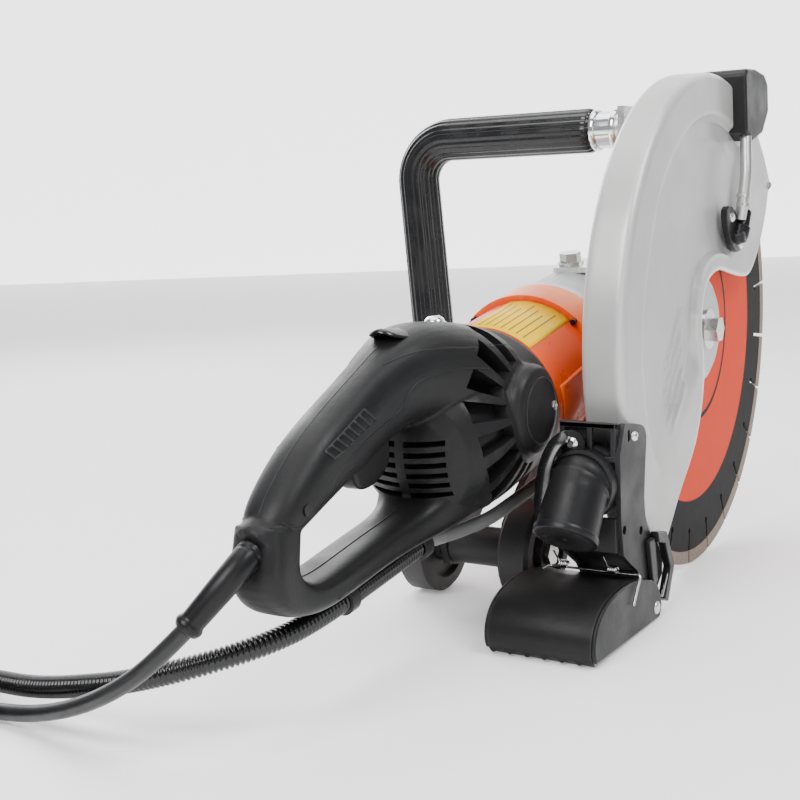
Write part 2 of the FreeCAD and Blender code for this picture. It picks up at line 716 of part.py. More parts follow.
def wheels():
    """Two plain wheels on one through axle, with a spacer tube and a bracket under the motor."""
    axle = Vector(size("axle_x"), 0, GROUND + size("wheel_radius"))
    outline = [
        ("-wheel_width / 2", "axle_radius + running_gap"), ("-wheel_width / 2", "13"),
        ("-wheel_width / 2 + 4", "14"), ("-wheel_width / 2 + 4", "wheel_radius - 11"),
        ("-wheel_width / 2", "wheel_radius - 10"), ("-wheel_width / 2", "wheel_radius - 2.5"),
        ("-wheel_width / 2 + 2.5", "wheel_radius"), ("wheel_width / 2 - 2.5", "wheel_radius"),
        ("wheel_width / 2", "wheel_radius - 2.5"), ("wheel_width / 2", "wheel_radius - 10"),
        ("wheel_width / 2 - 4", "wheel_radius - 11"), ("wheel_width / 2 - 4", "14"),
        ("wheel_width / 2", "13"), ("wheel_width / 2", "axle_radius + running_gap"),
    ]
    for name, y in (("wheel_right", 66.5), ("wheel_left", 146)):
        place = Placement(axle + Vector(0, y, 0), Rotation(Vector(0, 0, 1), 90))
        keep(turned(name, outline, place), name)
    right = axle + Vector(0, 54.6, 0)
    left = axle + Vector(0, 158, 0)
    rod = solid_cylinder("axle_bar", "axle_radius", left.y - right.y, towards(right, (0, 1, 0)))
    nut_right = six_sided("axle_nut_right", "15", "3.4", towards(right, (0, -1, 0)))
    nut_left = six_sided("axle_nut_left", "15", "4", towards(left, (0, 1, 0)))
    keep(joined("axle_rod", [rod, nut_right, nut_left]), "axle_rod")
    sleeve = [("84.5", "axle_radius"), ("84.5", "axle_tube"), ("126.5", "axle_tube"),
              ("126.5", "axle_radius")]
    tube_at = Placement(axle, Rotation(Vector(0, 0, 1), 90))
    keep(turned("axle_tube", sleeve, tube_at), "axle_tube")


def wheel_bracket():
    """Two side plates from the gear case's underside down to the axle, with a bridge on top."""
    axle = Vector(size("axle_x"), 0, GROUND + size("wheel_radius"))
    plate = [
        (axle.x - 17, axle.z + 2), (axle.x - 12, axle.z - 13), (axle.x + 4, axle.z - 17),
        (axle.x + 17, axle.z - 8), (-92, -108), (-62, -82), (-62, -69.9), (-112, -79.3),
        (-142, -100), (axle.x - 14, -120),
    ]
    plates = [slab(side_face(plate), y, y + 5) for y in (79, 127)]
    bridge = [(-62, -69.9), (-62, -74.9), (-112, -84.3), (-112, -79.3)]
    whole = plates[0].fuse([plates[1], slab(side_face(bridge), 79, 132)])
    hole = Part.makeCylinder(size("axle_radius"), 80, axle + Vector(0, 60, 0), Vector(0, 1, 0))
    keep(shaped("wheel_bracket", whole.cut(hole)), "wheel_bracket")


# ---------------------------------------------------------------- guard

CUT_OUT = [
    (-112, -139), (-107, -134), (-79, -108), (-59, -92), (-44, -78), (-34, -63), (-26, -43),
    (-24, -25), (-27, -8), (-31, 6), (-28, 20), (-22, 32), (-12, 40), (10, 45), (47, 37),
    (76, 34), (92, 36), (107, 46), (122, 61), (137, 82), (149, 108),
]
LEFT_SIDE_EDGE = [
    (-112, -139), (-80, -105), (-52, -72), (-44, -40), (-20, -47), (20, -47), (44, -26),
    (52, 6), (76, 34), (92, 36), (107, 46), (122, 61), (137, 82), (149, 108),
]


def guard_side(edge):
    """A side wall's outline: the open edge, then round outside the rim over the top."""
    beyond = size("guard_radius") + 30
    start = math.degrees(math.atan2(edge[-1][1], edge[-1][0]))
    end = 360 + math.degrees(math.atan2(edge[0][1], edge[0][0]))
    steps = 16
    arc = []
    for index in range(steps + 1):
        turn = math.radians(start + (end - start) * index / steps)
        arc.append((beyond * math.cos(turn), beyond * math.sin(turn)))
    return side_face(edge + arc)


def guard():
    """A pressed drum over the blade's top and rear, open below, with a clamp ring on its left."""
    radius = size("guard_radius")
    half = size("guard_half_width")
    wall = size("guard_wall")
    along = Vector(0, 1, 0)
    drum = Part.makeCylinder(radius, 2 * half, Vector(0, -half, 0), along)
    drum = drum.makeFillet(4, [e for e in drum.Edges if e.Curve.TypeId == "Part::GeomCircle"])
    inner = Part.makeCylinder(radius - wall, 2 * (half - wall), Vector(0, wall - half, 0), along)
    inner = inner.makeFillet(2, [e for e in inner.Edges if e.Curve.TypeId == "Part::GeomCircle"])
    drum = drum.cut(inner)
    right = drum.common(slab(guard_side(CUT_OUT), -half - 1, half - wall - 3))
    left = drum.common(slab(guard_side(LEFT_SIDE_EDGE), half - wall - 3, half + 1))
    bore = size("collar_radius + 2 * running_gap")
    ring = Part.makeCylinder(38, 8, Vector(0, half - wall, 0), along)
    hole = Part.makeCylinder(bore, 40, Vector(0, 0, 0), along)
    shell = right.fuse([left, ring]).cut(hole)
    keep(shaped("guard_shell", shell.removeSplitter()), "guard_shell")


def guard_front_grip():
    """The black grip that wraps the front of the guard's rim."""
    radius = size("guard_radius")
    outline = []
    for reach, degrees in ((19, 62), (23, 55), (23, 44), (15, 38), (-12, 39), (-16, 50), (0.2, 62)):
        turn = math.radians(degrees)
        outline.append(((radius + reach) * math.cos(turn), (radius + reach) * math.sin(turn)))
    whole = slab(side_face(outline), -21, 20)
    rim = Part.makeCylinder(radius + 0.2, 2 * size("guard_half_width") + 0.4,
                            Vector(0, -size("guard_half_width") - 0.2, 0), Vector(0, 1, 0))
    keep(shaped("guard_front_grip", whole.cut(rim).cut(water_pipe())), "guard_front_grip")


def water_pipe():
    """The bent tube's solid, which the grip and the nozzle block are drilled for."""
    radius = size("water_tube")
    side = -size("guard_half_width") - radius - 3
    path, _ = bent_path([(108, side, 150), (88, side, 128), (58, side, 86)], [20])
    return tube_along(path, radius)


def water_fittings():
    """The silver tube down the guard's outer face and the nozzle block it feeds."""
    keep(shaped("water_tube", water_pipe()), "water_tube")
    face = -size("guard_half_width") - 0.1
    nozzle = [(62, 90), (50, 82), (40, 68), (38, 57), (46, 50), (56, 52), (62, 62), (68, 78)]
    body = slab(side_face(nozzle), face - 12, face)
    keep(shaped("water_nozzle", body.cut(water_pipe())), "water_nozzle")


def guard_screws():
    """Two screws of the nozzle block and three of the dust housing."""
    outwards = (0, -1, 0)
    face = -size("guard_half_width") - 12.2
    spots = [(46, face, 60), (58, face, 66)]
    heads = [solid_cylinder(f"nozzle_screw_{n}", "3.2", "2.2", towards(spot, outwards))
             for n, spot in enumerate(spots)]
    heads.append(solid_cylinder("plate_screw", "3.6", "2.4", towards((-193, -20.1, -47), outwards)))
    heads.append(solid_cylinder("tether_screw", "4.6", "3", towards((-212.2, 9, -50), (-1, 0, 0))))
    keep(gathered("guard_screws", heads), "guard_screws")


# ---------------------------------------------------------------- dust outlet and hood

ELBOW_START = Vector(-216, 4, -76)
OUTLET = Vector(-0.58, 0.02, -0.81)
OUTLET_LENGTH = 34
HOOD_PIN = Vector(-156, 0, -169)


def dust_bracket():
    """The black housing behind the guard: two cheeks, a rear wall and the outlet's collar."""
    cheek = [
        (-208, -37), (-171, -44), (-161, -52), (-164, -70), (-166, -100), (-157, -118),
        (-143, -124), (-127, -150), (-146, -162), (-149, -172), (-156, -175.5), (-163, -172),
        (-165, -160), (-174, -140), (-190, -131), (-206, -120),
    ]
    right = slab(side_face(cheek), -20, -16.5)
    left = slab(side_face(cheek), 19.5, 23)
    wall = [(-208, -37), (-208, -120), (-203.5, -120), (-203.5, -41)]
    roof = [(-208, -37), (-171, -44), (-171, -48), (-208, -41)]
    rear = slab(side_face(wall), -20, 23)
    top = slab(side_face(roof), -20, 23)
    spigot = Part.makeCylinder(size("elbow_radius") + 3, 20, ELBOW_START + Vector(24, 0, 0),
                               Vector(-1, 0, 0))
    whole = right.fuse([left, rear, top, spigot])
    way = elbow_solid(size("elbow_radius") + 0.2, 60, OUTLET_LENGTH)
    drum = Part.makeCylinder(size("guard_radius") + 0.3, 31, Vector(0, -15.5, 0), Vector(0, 1, 0))
    holes = [Part.makeCylinder(2.6, 10, Vector(x, -24, z), Vector(0, 1, 0))
             for x, z in ((-201, -106), (-172, -113))]
    holes.append(Part.makeCylinder(2.5, 60, HOOD_PIN - Vector(0, 30, 0), Vector(0, 1, 0)))
    boss = Part.makeCylinder(6, 4.2, Vector(-208, 9, -50), Vector(-1, 0, 0))
    whole = whole.fuse(boss).cut(way).cut(drum.fuse(holes))
    keep(shaped("dust_bracket", whole.removeSplitter()), "dust_bracket")


def elbow_solid(radius, lead, length):
    """A straight stub, a ball at the corner and the slanting outlet, all of one radius."""
    stub = Part.makeCylinder(radius, 6 + lead, ELBOW_START + Vector(6 + lead, 0, 0),
                             Vector(-1, 0, 0))
    corner = Part.makeSphere(radius, ELBOW_START)
    outlet = Part.makeCylinder(radius, length, ELBOW_START, OUTLET)
    return stub.fuse([corner, outlet])


def dust_elbow():
    radius = size("elbow_radius")
    outer = elbow_solid(radius, 18, OUTLET_LENGTH)
    inner = elbow_solid(radius - size("elbow_wall"), 20, OUTLET_LENGTH + 1)
    keep(shaped("dust_elbow", outer.cut(inner).removeSplitter()), "dust_elbow")


def dust_cap():
    """A push-on cap with its tether, which stays screwed to the dust housing."""
    end = ELBOW_START + Vector(OUTLET).normalize() * (OUTLET_LENGTH + 0.3)
    facing = Placement(end, Rotation(Vector(1, 0, 0), OUTLET))
    outline = [
        ("-7", "elbow_radius + 0.3"), ("-7", "elbow_radius + 1.8"), ("1", "elbow_radius + 1.8"),
        ("2.4", "elbow_radius"), ("2.4", "0"), ("0", "0"), ("0", "elbow_radius + 0.3"),
    ]
    keep(turned("dust_cap", outline, facing), "dust_cap")
    across_loop = Vector(-0.914, 0, 0.406)
    middle = Vector(-225.2, 3, -77.4)
    ring_at = towards(middle - across_loop * 4.5, across_loop)
    strap = solid_cylinder("strap_outer", "27.6", "9", ring_at)
    hollow = solid_cylinder("strap_inner", "25.6", "9", ring_at)
    band = without("strap_band", strap, hollow)
    flat = ring_at.multiply(at(0, 0, 4.5))
    upper = block("strap_spare", "80", "60", "20", Placement(middle - Vector(0, 19, 0), flat.Rotation))
    lower = block("strap_below", "40", "60", "20", towards(middle + Vector(-27, 0, -27), across_loop))
    arc = without("strap_arc", band, joined("strap_cuts", [upper, lower]))
    outlet = shaped("strap_way", elbow_solid(size("elbow_radius") + 0.2, 20, OUTLET_LENGTH))
    keep(without("strap_clear", arc, outlet), "cap_tether")


def hood():
    """The skirt that trails behind the guard on the ground, with ears for its hinge pin."""
    wall = size("hood_wall")
    profile = [
        (-258, GROUND), (-262, -170), (-260, -158), (-252, -148), (-240, -142), (-222, -139.5),
        (-190, -141), (-172, -145), (-160, -150), (-148, -163), (-145, -170), (-150, GROUND),
    ]
    inner = [
        (-254, GROUND - 1), (-258, -168), (-256, -158), (-249, -151), (-238, -145.5),
        (-222, -143), (-190, -144.5), (-174, -148.5), (-174, GROUND - 1),
    ]
    right = -24.5
    left = 50
    solid = slab(side_face(profile), right, left)
    solid = solid.cut(slab(side_face(inner), right + wall, left - wall))
    front = [(-178, GROUND - 1), (-178, -138), (-160, -138), (-130, -150), (-140, GROUND - 1)]
    solid = solid.cut(slab(side_face(front), right + wall, left - wall))
    pin = Part.makeCylinder(2.55, 90, HOOD_PIN - Vector(0, 30, 0), Vector(0, 1, 0))
    keep(shaped("hood", solid.cut(pin).removeSplitter()), "hood")


def hood_hinge():
    """The hinge pin through both cheeks, and the wire spring that presses the hood down."""
    outwards = (0, 1, 0)
    rod = solid_cylinder("hinge_rod", "2.5", "76.5", towards(HOOD_PIN - Vector(0, 25.5, 0), outwards))
    head = solid_cylinder("hinge_head", "4", "1.5", towards(HOOD_PIN - Vector(0, 26.2, 0), outwards))
    tail = solid_cylinder("hinge_tail", "4", "1.5", towards(HOOD_PIN + Vector(0, 50.3, 0), outwards))
    keep(joined("hood_pin", [rod, head, tail]), "hood_pin")
    wire = [(-200, 42, -137), (-190, 40, -134.5), (-187, -12, -135), (-196, -19, -137)]
    bar, _ = bent_path(wire, [3, 3])
    keep(shaped("hood_spring", tube_along(bar, 1.0)), "hood_spring")


# ---------------------------------------------------------------- water hose and cords

HELD_RUN = [(-383, -50), (-285, -56.5)]
BARE_HOSE = [
    (-285, 0, -56.5), (-262, -9, -59.5), (-238, -21, -59.5), (-190, -27, -59),
    (-140, -30, -59.5), (-100, -38, -53.5), (-68, -42, -45.5),
]
RELIEF = [(-434.5, 85, -66.2), (-459, 88, -80), (-474, 106, -105)]
CABLE_ROUTE = [
    (-474, 106, -105), (-481.7, 119.6, -120.4), (-484, 141, -136.5), (-483, 167, -150.5),
    (-480, 195, -161.5), (-477, 224, -169), (-476, 254, -172.2), (-478, 284, -172.2),
]
CONDUIT_ROUTE = [
    (-367.5, 85, -119), (-394.9, 87.4, -123.5), (-421.8, 95.2, -127), (-444.2, 112, -131.5),
    (-459, 135.8, -138), (-464.3, 163.2, -145.5), (-463.3, 193.2, -152.5),
    (-459.6, 223, -159.5), (-455, 252, -164.5), (-452.5, 281, -166),
]
COIL_CENTRE = (-540, 300)


def held_hose():
    """The conduit's straight run under the lower bar, its two clips, and the bare hose ahead."""
    start = in_motor(HELD_RUN[0][0], 0, HELD_RUN[0][1])
    end = in_motor(HELD_RUN[1][0], 0, HELD_RUN[1][1])
    run = end - start
    length = round(run.Length, 2)
    radius = "conduit_radius"
    keep(solid_cylinder("conduit_run", radius, length, towards(start, run)), "conduit_run")
    clips = []
    for number, share in enumerate((0.06, 0.93)):
        spot = start + run * share
        ring = [("-4", "conduit_radius"), ("-4", "conduit_radius + 2"),
                ("4", "conduit_radius + 2"), ("4", "conduit_radius")]
        facing = Placement(spot, Rotation(Vector(1, 0, 0), run))
        clips.append(turned(f"clip_{number}", ring, facing))
    keep(gathered("hose_clips", clips), "hose_clips")
    route = [tuple(in_motor(*point)) for point in BARE_HOSE]
    path, _ = bent_path(route)
    keep(shaped("water_hose", tube_along(path, size("hose_radius"))), "water_hose")
    along, across, up = BARE_HOSE[-1]
    ahead = MOTOR.Rotation.multVec(Vector(1, 0, 0))
    inwards = MOTOR.Rotation.multVec(Vector(0, -across, -up)).normalize()
    socket = solid_cylinder("union_socket", "6.5", "14", towards(route[-1], ahead))
    corner = Vector(*route[-1]) + ahead * 7.5
    stem_length = math.hypot(across, up) - 54.5
    stem = solid_cylinder("union_stem", "6", stem_length, towards(corner, inwards))
    keep(joined("hose_union", [socket, stem]), "hose_union")


def strain_relief():
    """A tapered rubber sleeve bent along its path, thick at the handle and beaded at its tip."""
    path, _ = bent_path(RELIEF)
    steps = 8
    rings = []
    for index in range(steps + 1):
        share = index / steps
        spot, heading = point_on(path, share)
        radius = 8.6 - 2.6 * share
        rings.append(Part.Wire([Part.makeCircle(radius, spot, heading)]))
    sleeve = Part.makeLoft(rings, True, False)
    keep(shaped("strain_relief", sleeve), "strain_relief")


def point_on(path, share):
    """The point and heading at a share of a path's length."""
    left = path.Length * share
    for edge in path.OrderedEdges:
        if left <= edge.Length + 1e-6:
            break
        left -= edge.Length
    parameter = edge.getParameterByLength(min(left, edge.Length))
    return edge.valueAt(parameter), edge.tangentAt(parameter)


def mains_cord():
    """The cable from the strain relief to its put-away coil, the coil and the plug beside it."""
    free_line("mains_cord", CABLE_ROUTE, size("cable_radius"))
    x, y = COIL_CENTRE
    inner = "coil_radius - 3 * cable_radius"
    outer = "coil_radius + 3 * cable_radius"
    ring = [("0", inner), ("0", outer), ("5.8 * cable_radius", outer), ("5.8 * cable_radius", inner)]
    flat = Placement(Vector(x, y, GROUND), Rotation(Vector(1, 0, 0), Vector(0, 0, 1)))
    keep(turned("mains_cord_coil", ring, flat), "mains_cord_coil")
    plug_at = Vector(x - 48, y - 49, GROUND + 18)
    boot = [("0", "0"), ("0", "5.5"), ("24", "9"), ("26", "17"), ("40", "17.5"), ("62", "15"),
            ("62", "0")]
    back = Placement(plug_at, Rotation(Vector(1, 0, 0), Vector(0, -1, 0)))
    body = turned("plug_moulding", boot, back)
    pins = [body]
    for name, across, up in (("live", -6.5, 4), ("neutral", 6.5, 4), ("earth", 0, -6)):
        spot = back.multiply(at(62, across, up)).Base
        pins.append(solid_cylinder(f"pin_{name}", "2.4", "18", towards(spot, (0, -1, 0))))
    keep(gathered("mains_plug", pins), "mains_plug")


def hose_line():
    """The free conduit with the water hose inside it, and the quick connector on its end."""
    free_line("hose_conduit", CONDUIT_ROUTE, size("conduit_radius"))
    tip = Vector(*CONDUIT_ROUTE[-1])
    outline = [
        ("0", "0"), ("0", "8.5"), ("6", "11"), ("24", "11"), ("26", "9"), ("30", "9"),
        ("30", "7.5"), ("46", "7.5"), ("46", "4"), ("34", "4"), ("34", "0"),
    ]
    facing = Placement(tip, Rotation(Vector(0, 0, 1), 90))
    keep(turned("hose_connector", outline, facing), "hose_connector")


# ---------------------------------------------------------------- build and export


def main():
    blade()
    flanges()
    spindle()
    blade_bolt()
    bevel_gears()
    armature()
    stator()
    motor_housing()
    bearings()
    bearing_plate()
    brushes()
    gear_case()
    gear_case_bolt()
    housing_screws()
    rear_handle()
    controls()
    handle_trim()
    front_handle()
    front_handle_bracket()
    front_handle_bolts()
    wheels()
    wheel_bracket()
    guard()
    guard_front_grip()
    water_fittings()
    guard_screws()
    dust_bracket()
    dust_elbow()
    dust_cap()
    hood()
    hood_hinge()
    held_hose()
    strain_relief()
    mains_cord()
    hose_line()
    doc.recompute()
    for thing in doc.Objects:
        if "Invalid" in thing.State or "Error" in thing.State:
            raise RuntimeError(f"{thing.Label} failed to build")
    os.makedirs("parts", exist_ok=True)
    for piece in nodes:
        if piece.Shape.isNull() or not piece.Shape.isValid():
            raise RuntimeError(f"{piece.Label} has no valid shape")
        piece.Shape.exportStep(f"parts/{piece.Label}.step")


main()
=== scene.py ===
import json
import math

import bmesh
import bpy
from mathutils import Matrix, Vector
from mathutils.bvhtree import BVHTree

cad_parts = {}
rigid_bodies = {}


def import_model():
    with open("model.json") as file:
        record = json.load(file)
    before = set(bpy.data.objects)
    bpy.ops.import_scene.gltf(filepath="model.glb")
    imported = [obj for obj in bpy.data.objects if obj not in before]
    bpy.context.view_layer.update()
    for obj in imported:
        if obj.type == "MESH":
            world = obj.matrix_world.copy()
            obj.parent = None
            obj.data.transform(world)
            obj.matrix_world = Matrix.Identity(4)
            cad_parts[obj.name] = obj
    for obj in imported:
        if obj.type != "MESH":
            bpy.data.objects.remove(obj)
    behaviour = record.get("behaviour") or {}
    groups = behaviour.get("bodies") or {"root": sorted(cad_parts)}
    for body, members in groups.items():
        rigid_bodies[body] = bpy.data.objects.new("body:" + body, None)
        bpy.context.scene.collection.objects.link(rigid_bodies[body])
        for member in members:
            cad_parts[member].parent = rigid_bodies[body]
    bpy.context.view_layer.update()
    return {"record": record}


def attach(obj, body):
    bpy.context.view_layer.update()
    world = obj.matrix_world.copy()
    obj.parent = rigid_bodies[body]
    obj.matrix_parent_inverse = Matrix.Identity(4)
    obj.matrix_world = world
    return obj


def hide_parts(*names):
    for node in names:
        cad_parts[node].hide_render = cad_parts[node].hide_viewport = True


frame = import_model()

# The saw's own places. Lengths are millimetres from the blade's centre unless a name says metres.
MM = 0.001
JOINTS = {joint["name"]: joint for joint in frame["record"]["behaviour"]["joints"]}
HUB = Vector(JOINTS["blade_spin"]["pos_m"])
MOTOR_MIDDLE = Vector(JOINTS["armature_spin"]["pos_m"])
MOTOR_AXIS = Vector(JOINTS["armature_spin"]["axis"]).normalized()
MOTOR_UP = MOTOR_AXIS.cross(Vector((0, 1, 0)))
ACROSS = Vector((0, 1, 0))
GUARD_RADIUS = 187.4
GUARD_HALF = 14.5
HANDLE_TILT = math.radians(4.5)


def at(x, y, z):
    """A point in metres in the row frame, from millimetres measured from the blade's centre."""
    return HUB + Vector((x, y, z)) * MM


def motor(along, across, up):
    """A point given along, across and above the motor's tilted axis, in millimetres."""
    return MOTOR_MIDDLE + (MOTOR_AXIS * along + ACROSS * across + MOTOR_UP * up) * MM


def handle(x, y, z):
    """A point in the front handle's own plane, which leans forward at the top."""
    lean = Matrix.Rotation(HANDLE_TILT, 3, "Y")
    return HUB + lean @ Vector((x, y, z)) * MM


# ---------------------------------------------------------------- materials


class Finish:
    """A node material with a Principled shader, and short ways to add to it."""

    def __init__(self, name, colour, roughness, metallic=0.0, coat=0.0):
        self.material = bpy.data.materials.new(name)
        self.material.use_nodes = True
        self.tree = self.material.node_tree
        self.shader = self.tree.nodes["Principled BSDF"]
        self.shader.inputs["Base Color"].default_value = (*colour, 1)
        self.shader.inputs["Roughness"].default_value = roughness
        self.shader.inputs["Metallic"].default_value = metallic
        self.shader.inputs["Coat Weight"].default_value = coat
        self.shader.inputs["Coat Roughness"].default_value = 0.12
        self.colour = colour
        self.place = self.add("ShaderNodeTexCoord").outputs["Object"]
        self.last_bump = None

    def add(self, kind, **values):
        node = self.tree.nodes.new(kind)
        for key, value in values.items():
            setattr(node, key, value)
        return node

    def link(self, out, into):
        self.tree.links.new(out, into)
        return self

    def noise(self, scale, detail=3.0, stretch=None):
        node = self.add("ShaderNodeTexNoise")
        node.inputs["Scale"].default_value = scale
        node.inputs["Detail"].default_value = detail
        source = self.place
        if stretch:
            mapping = self.add("ShaderNodeMapping")
            mapping.inputs["Scale"].default_value = stretch
            self.link(source, mapping.inputs["Vector"])
            source = mapping.outputs["Vector"]
        self.link(source, node.inputs["Vector"])
        return node.outputs["Fac"]

    def spread(self, fac, low, high, start=0.35, end=0.65):
        """A value from low to high as fac goes from start to end."""
        node = self.add("ShaderNodeMapRange")
        for key, value in (("From Min", start), ("From Max", end), ("To Min", low), ("To Max", high)):
            node.inputs[key].default_value = value
        self.link(fac, node.inputs["Value"])
        return node.outputs["Result"]

    def mix(self, fac, first, second):
        """A colour between two, each a colour or a socket."""
        node = self.add("ShaderNodeMix", data_type="RGBA")
        self.link(fac, node.inputs["Factor"])
        for value, socket in ((first, node.inputs[6]), (second, node.inputs[7])):
            if isinstance(value, tuple):
                socket.default_value = (*value, 1)
            else:
                self.link(value, socket)
        return node.outputs[2]

    def paint(self, socket):
        return self.link(socket, self.shader.inputs["Base Color"])

    def mottle(self, scale, amount):
        """The colour varies a little over the surface, lighter and darker by amount."""
        dark = tuple(c * (1 - amount) for c in self.colour)
        light = tuple(min(1, c * (1 + amount)) for c in self.colour)
        return self.paint(self.mix(self.noise(scale, 4), dark, light))

    def rough(self, scale, low, high):
        return self.link(self.spread(self.noise(scale, 4), low, high), self.shader.inputs["Roughness"])

    def bump(self, fac, height, strength=1.0):
        node = self.add("ShaderNodeBump")
        node.inputs["Distance"].default_value = height * MM
        node.inputs["Strength"].default_value = strength
        self.link(fac, node.inputs["Height"])
        if self.last_bump:
            self.link(self.last_bump, node.inputs["Normal"])
        self.last_bump = node.outputs["Normal"]
        return self.link(self.last_bump, self.shader.inputs["Normal"])

    def paint_edge_highlight(self, colour, low=0.53, high=0.62):
        """Convex edges turn towards a lighter colour: a painted highlight where edges catch the light."""
        base = self.shader.inputs["Base Color"]
        before = base.links[0].from_socket if base.is_linked else self.colour
        edge = self.spread(self.add("ShaderNodeNewGeometry").outputs["Pointiness"], 0, 1, low, high)
        return self.paint(self.mix(edge, before, colour))

    def distance(self, centre, flatten):
        """How far, in millimetres, a point is from centre once an axis is flattened away."""
        offset = self.add("ShaderNodeVectorMath", operation="SUBTRACT")
        offset.inputs[1].default_value = centre
        self.link(self.place, offset.inputs[0])
        scaled = self.add("ShaderNodeVectorMath", operation="MULTIPLY")
        scaled.inputs[1].default_value = tuple(value / MM for value in flatten)
        self.link(offset.outputs[0], scaled.inputs[0])
        length = self.add("ShaderNodeVectorMath", operation="LENGTH")
        self.link(scaled.outputs[0], length.inputs[0])
        return length.outputs["Value"]


def grained_plastic(name, colour, roughness, grain):
    """Moulded plastic with an eroded grain and a soft, slightly uneven sheen."""
    finish = Finish(name, colour, roughness)
    finish.shader.inputs["Specular IOR Level"].default_value = 0.22
    finish.mottle(60, 0.12).rough(35, roughness - 0.06, roughness + 0.08)
    finish.bump(finish.noise(1900, 2), grain)
    finish.bump(finish.noise(420, 2), grain * 1.3)
    # Lighter grey on convex edges: a painted highlight.
    return finish.paint_edge_highlight(tuple(min(1, c * 2.2 + 0.01) for c in colour))


def turned_metal(name, colour, roughness, metallic=1.0):
    """Bare or plated metal with fine marks and a little dullness in patches."""
    finish = Finish(name, colour, roughness, metallic)
    finish.mottle(90, 0.05).rough(120, roughness - 0.03, roughness + 0.05)
    finish.bump(finish.noise(500, 2), 0.006)
    return finish


def guard_paint():
    """Satin silver-grey lacquer over die-cast metal, brighter where the edges turn: a painted edge
    highlight.
    """
    finish = Finish("silver_lacquer", (0.40, 0.40, 0.39), 0.40, 0.3, 0.1)
    finish.mottle(25, 0.04).rough(40, 0.33, 0.45)
    finish.bump(finish.noise(1300, 3), 0.05)
    finish.bump(finish.noise(60, 2), 0.12)
    # Lighter convex edges: a painted highlight.
    return finish.paint_edge_highlight((0.7, 0.7, 0.69), 0.51, 0.56)


def orange_paint(name):
    finish = Finish(name, (0.66, 0.058, 0.001), 0.36, 0, 0.05)
    finish.shader.inputs["Specular IOR Level"].default_value = 0.2
    finish.mottle(30, 0.05).rough(45, 0.26, 0.38)
    finish.bump(finish.noise(700, 2), 0.03)
    # Lighter orange on convex edges: a painted highlight.
    return finish.paint_edge_highlight((0.88, 0.2, 0.03), 0.53, 0.64)


def blade_face():
    """An orange centre, a thin black ring, and the bare steel rim that the segments are welded to, coloured
    near-black: a painted dark reflection, not the steel's own grey.
    """
    finish = Finish("blade_face", (0.78, 0.075, 0.004), 0.5)
    finish.shader.inputs["Specular IOR Level"].default_value = 0.06
    radius = finish.distance(HUB, (1, 0, 1))
    orange = finish.mix(finish.noise(40, 4), (0.56, 0.026, 0.0), (0.64, 0.034, 0.0))
    # Near-black outer steel: a painted reflection of dark surroundings in mirrored steel.
    painted_reflection_band = finish.mix(finish.noise(90, 5), (0.008, 0.008, 0.009), (0.02, 0.019, 0.018))
    ring = finish.mix(finish.spread(radius, 0, 1, 66, 66.4), orange, (0.004, 0.004, 0.004))
    after = finish.mix(finish.spread(radius, 0, 1, 69.6, 70), ring, orange)
    # Mask for the painted dark reflection beyond 130 mm.
    rim = finish.spread(radius, 0, 1, 129.6, 130.4)
    finish.paint(finish.mix(rim, after, painted_reflection_band))
    finish.link(finish.spread(radius, 0.5, 0.6, 129.6, 130.4), finish.shader.inputs["Roughness"])
    return finish.bump(finish.noise(500, 3), 0.03)


def segment_metal():
    """Sintered metal full of grit, brown from heat."""
    finish = Finish("segment_metal", (0.20, 0.15, 0.11), 0.62, 0.5)
    finish.paint(finish.mix(finish.noise(700, 4), (0.10, 0.075, 0.06), (0.34, 0.26, 0.2)))
    return finish.bump(finish.noise(1500, 3), 0.25)


def cast_metal():
    """Light grey paint on a sand-textured casting."""
    finish = Finish("cast_grey", (0.42, 0.43, 0.43), 0.5, 0.4)
    finish.mottle(50, 0.08).rough(90, 0.42, 0.6)
    finish.bump(finish.noise(650, 4), 0.22)
    # Lighter grey on convex edges: a painted highlight.
    return finish.paint_edge_highlight((0.62, 0.63, 0.63))


def glossy_black(name, roughness, colour=(0.005, 0.005, 0.0055)):
    finish = Finish(name, colour, roughness, 0, 0.1)
    finish.shader.inputs["Specular IOR Level"].default_value = 0.4
    finish.mottle(80, 0.15).rough(60, roughness - 0.05, roughness + 0.1)
    return finish.bump(finish.noise(300, 2), 0.03)


def tyre_rubber():
    finish = Finish("tyre_rubber", (0.010, 0.010, 0.011), 0.55)
    finish.paint(finish.mix(finish.noise(45, 5), (0.006, 0.006, 0.0065), (0.018, 0.017, 0.016)))
    return finish.bump(finish.noise(900, 3), 0.12)


def label_film():
    """A plain yellow film."""
    finish = Finish("label_film", (0.82, 0.50, 0.0), 0.45)
    finish.shader.inputs["Specular IOR Level"].default_value = 0.1
    finish.mottle(80, 0.04)
    return finish.bump(finish.noise(200, 2), 0.02)


def floor_paper():
    finish = Finish("floor_paper", (0.9, 0.9, 0.9), 0.75)
    finish.shader.inputs["Emission Color"].default_value = (1, 1, 1, 1)
    finish.shader.inputs["Emission Strength"].default_value = 0.22
    finish.mottle(3, 0.01)
    return finish.bump(finish.noise(120, 3), 0.05)


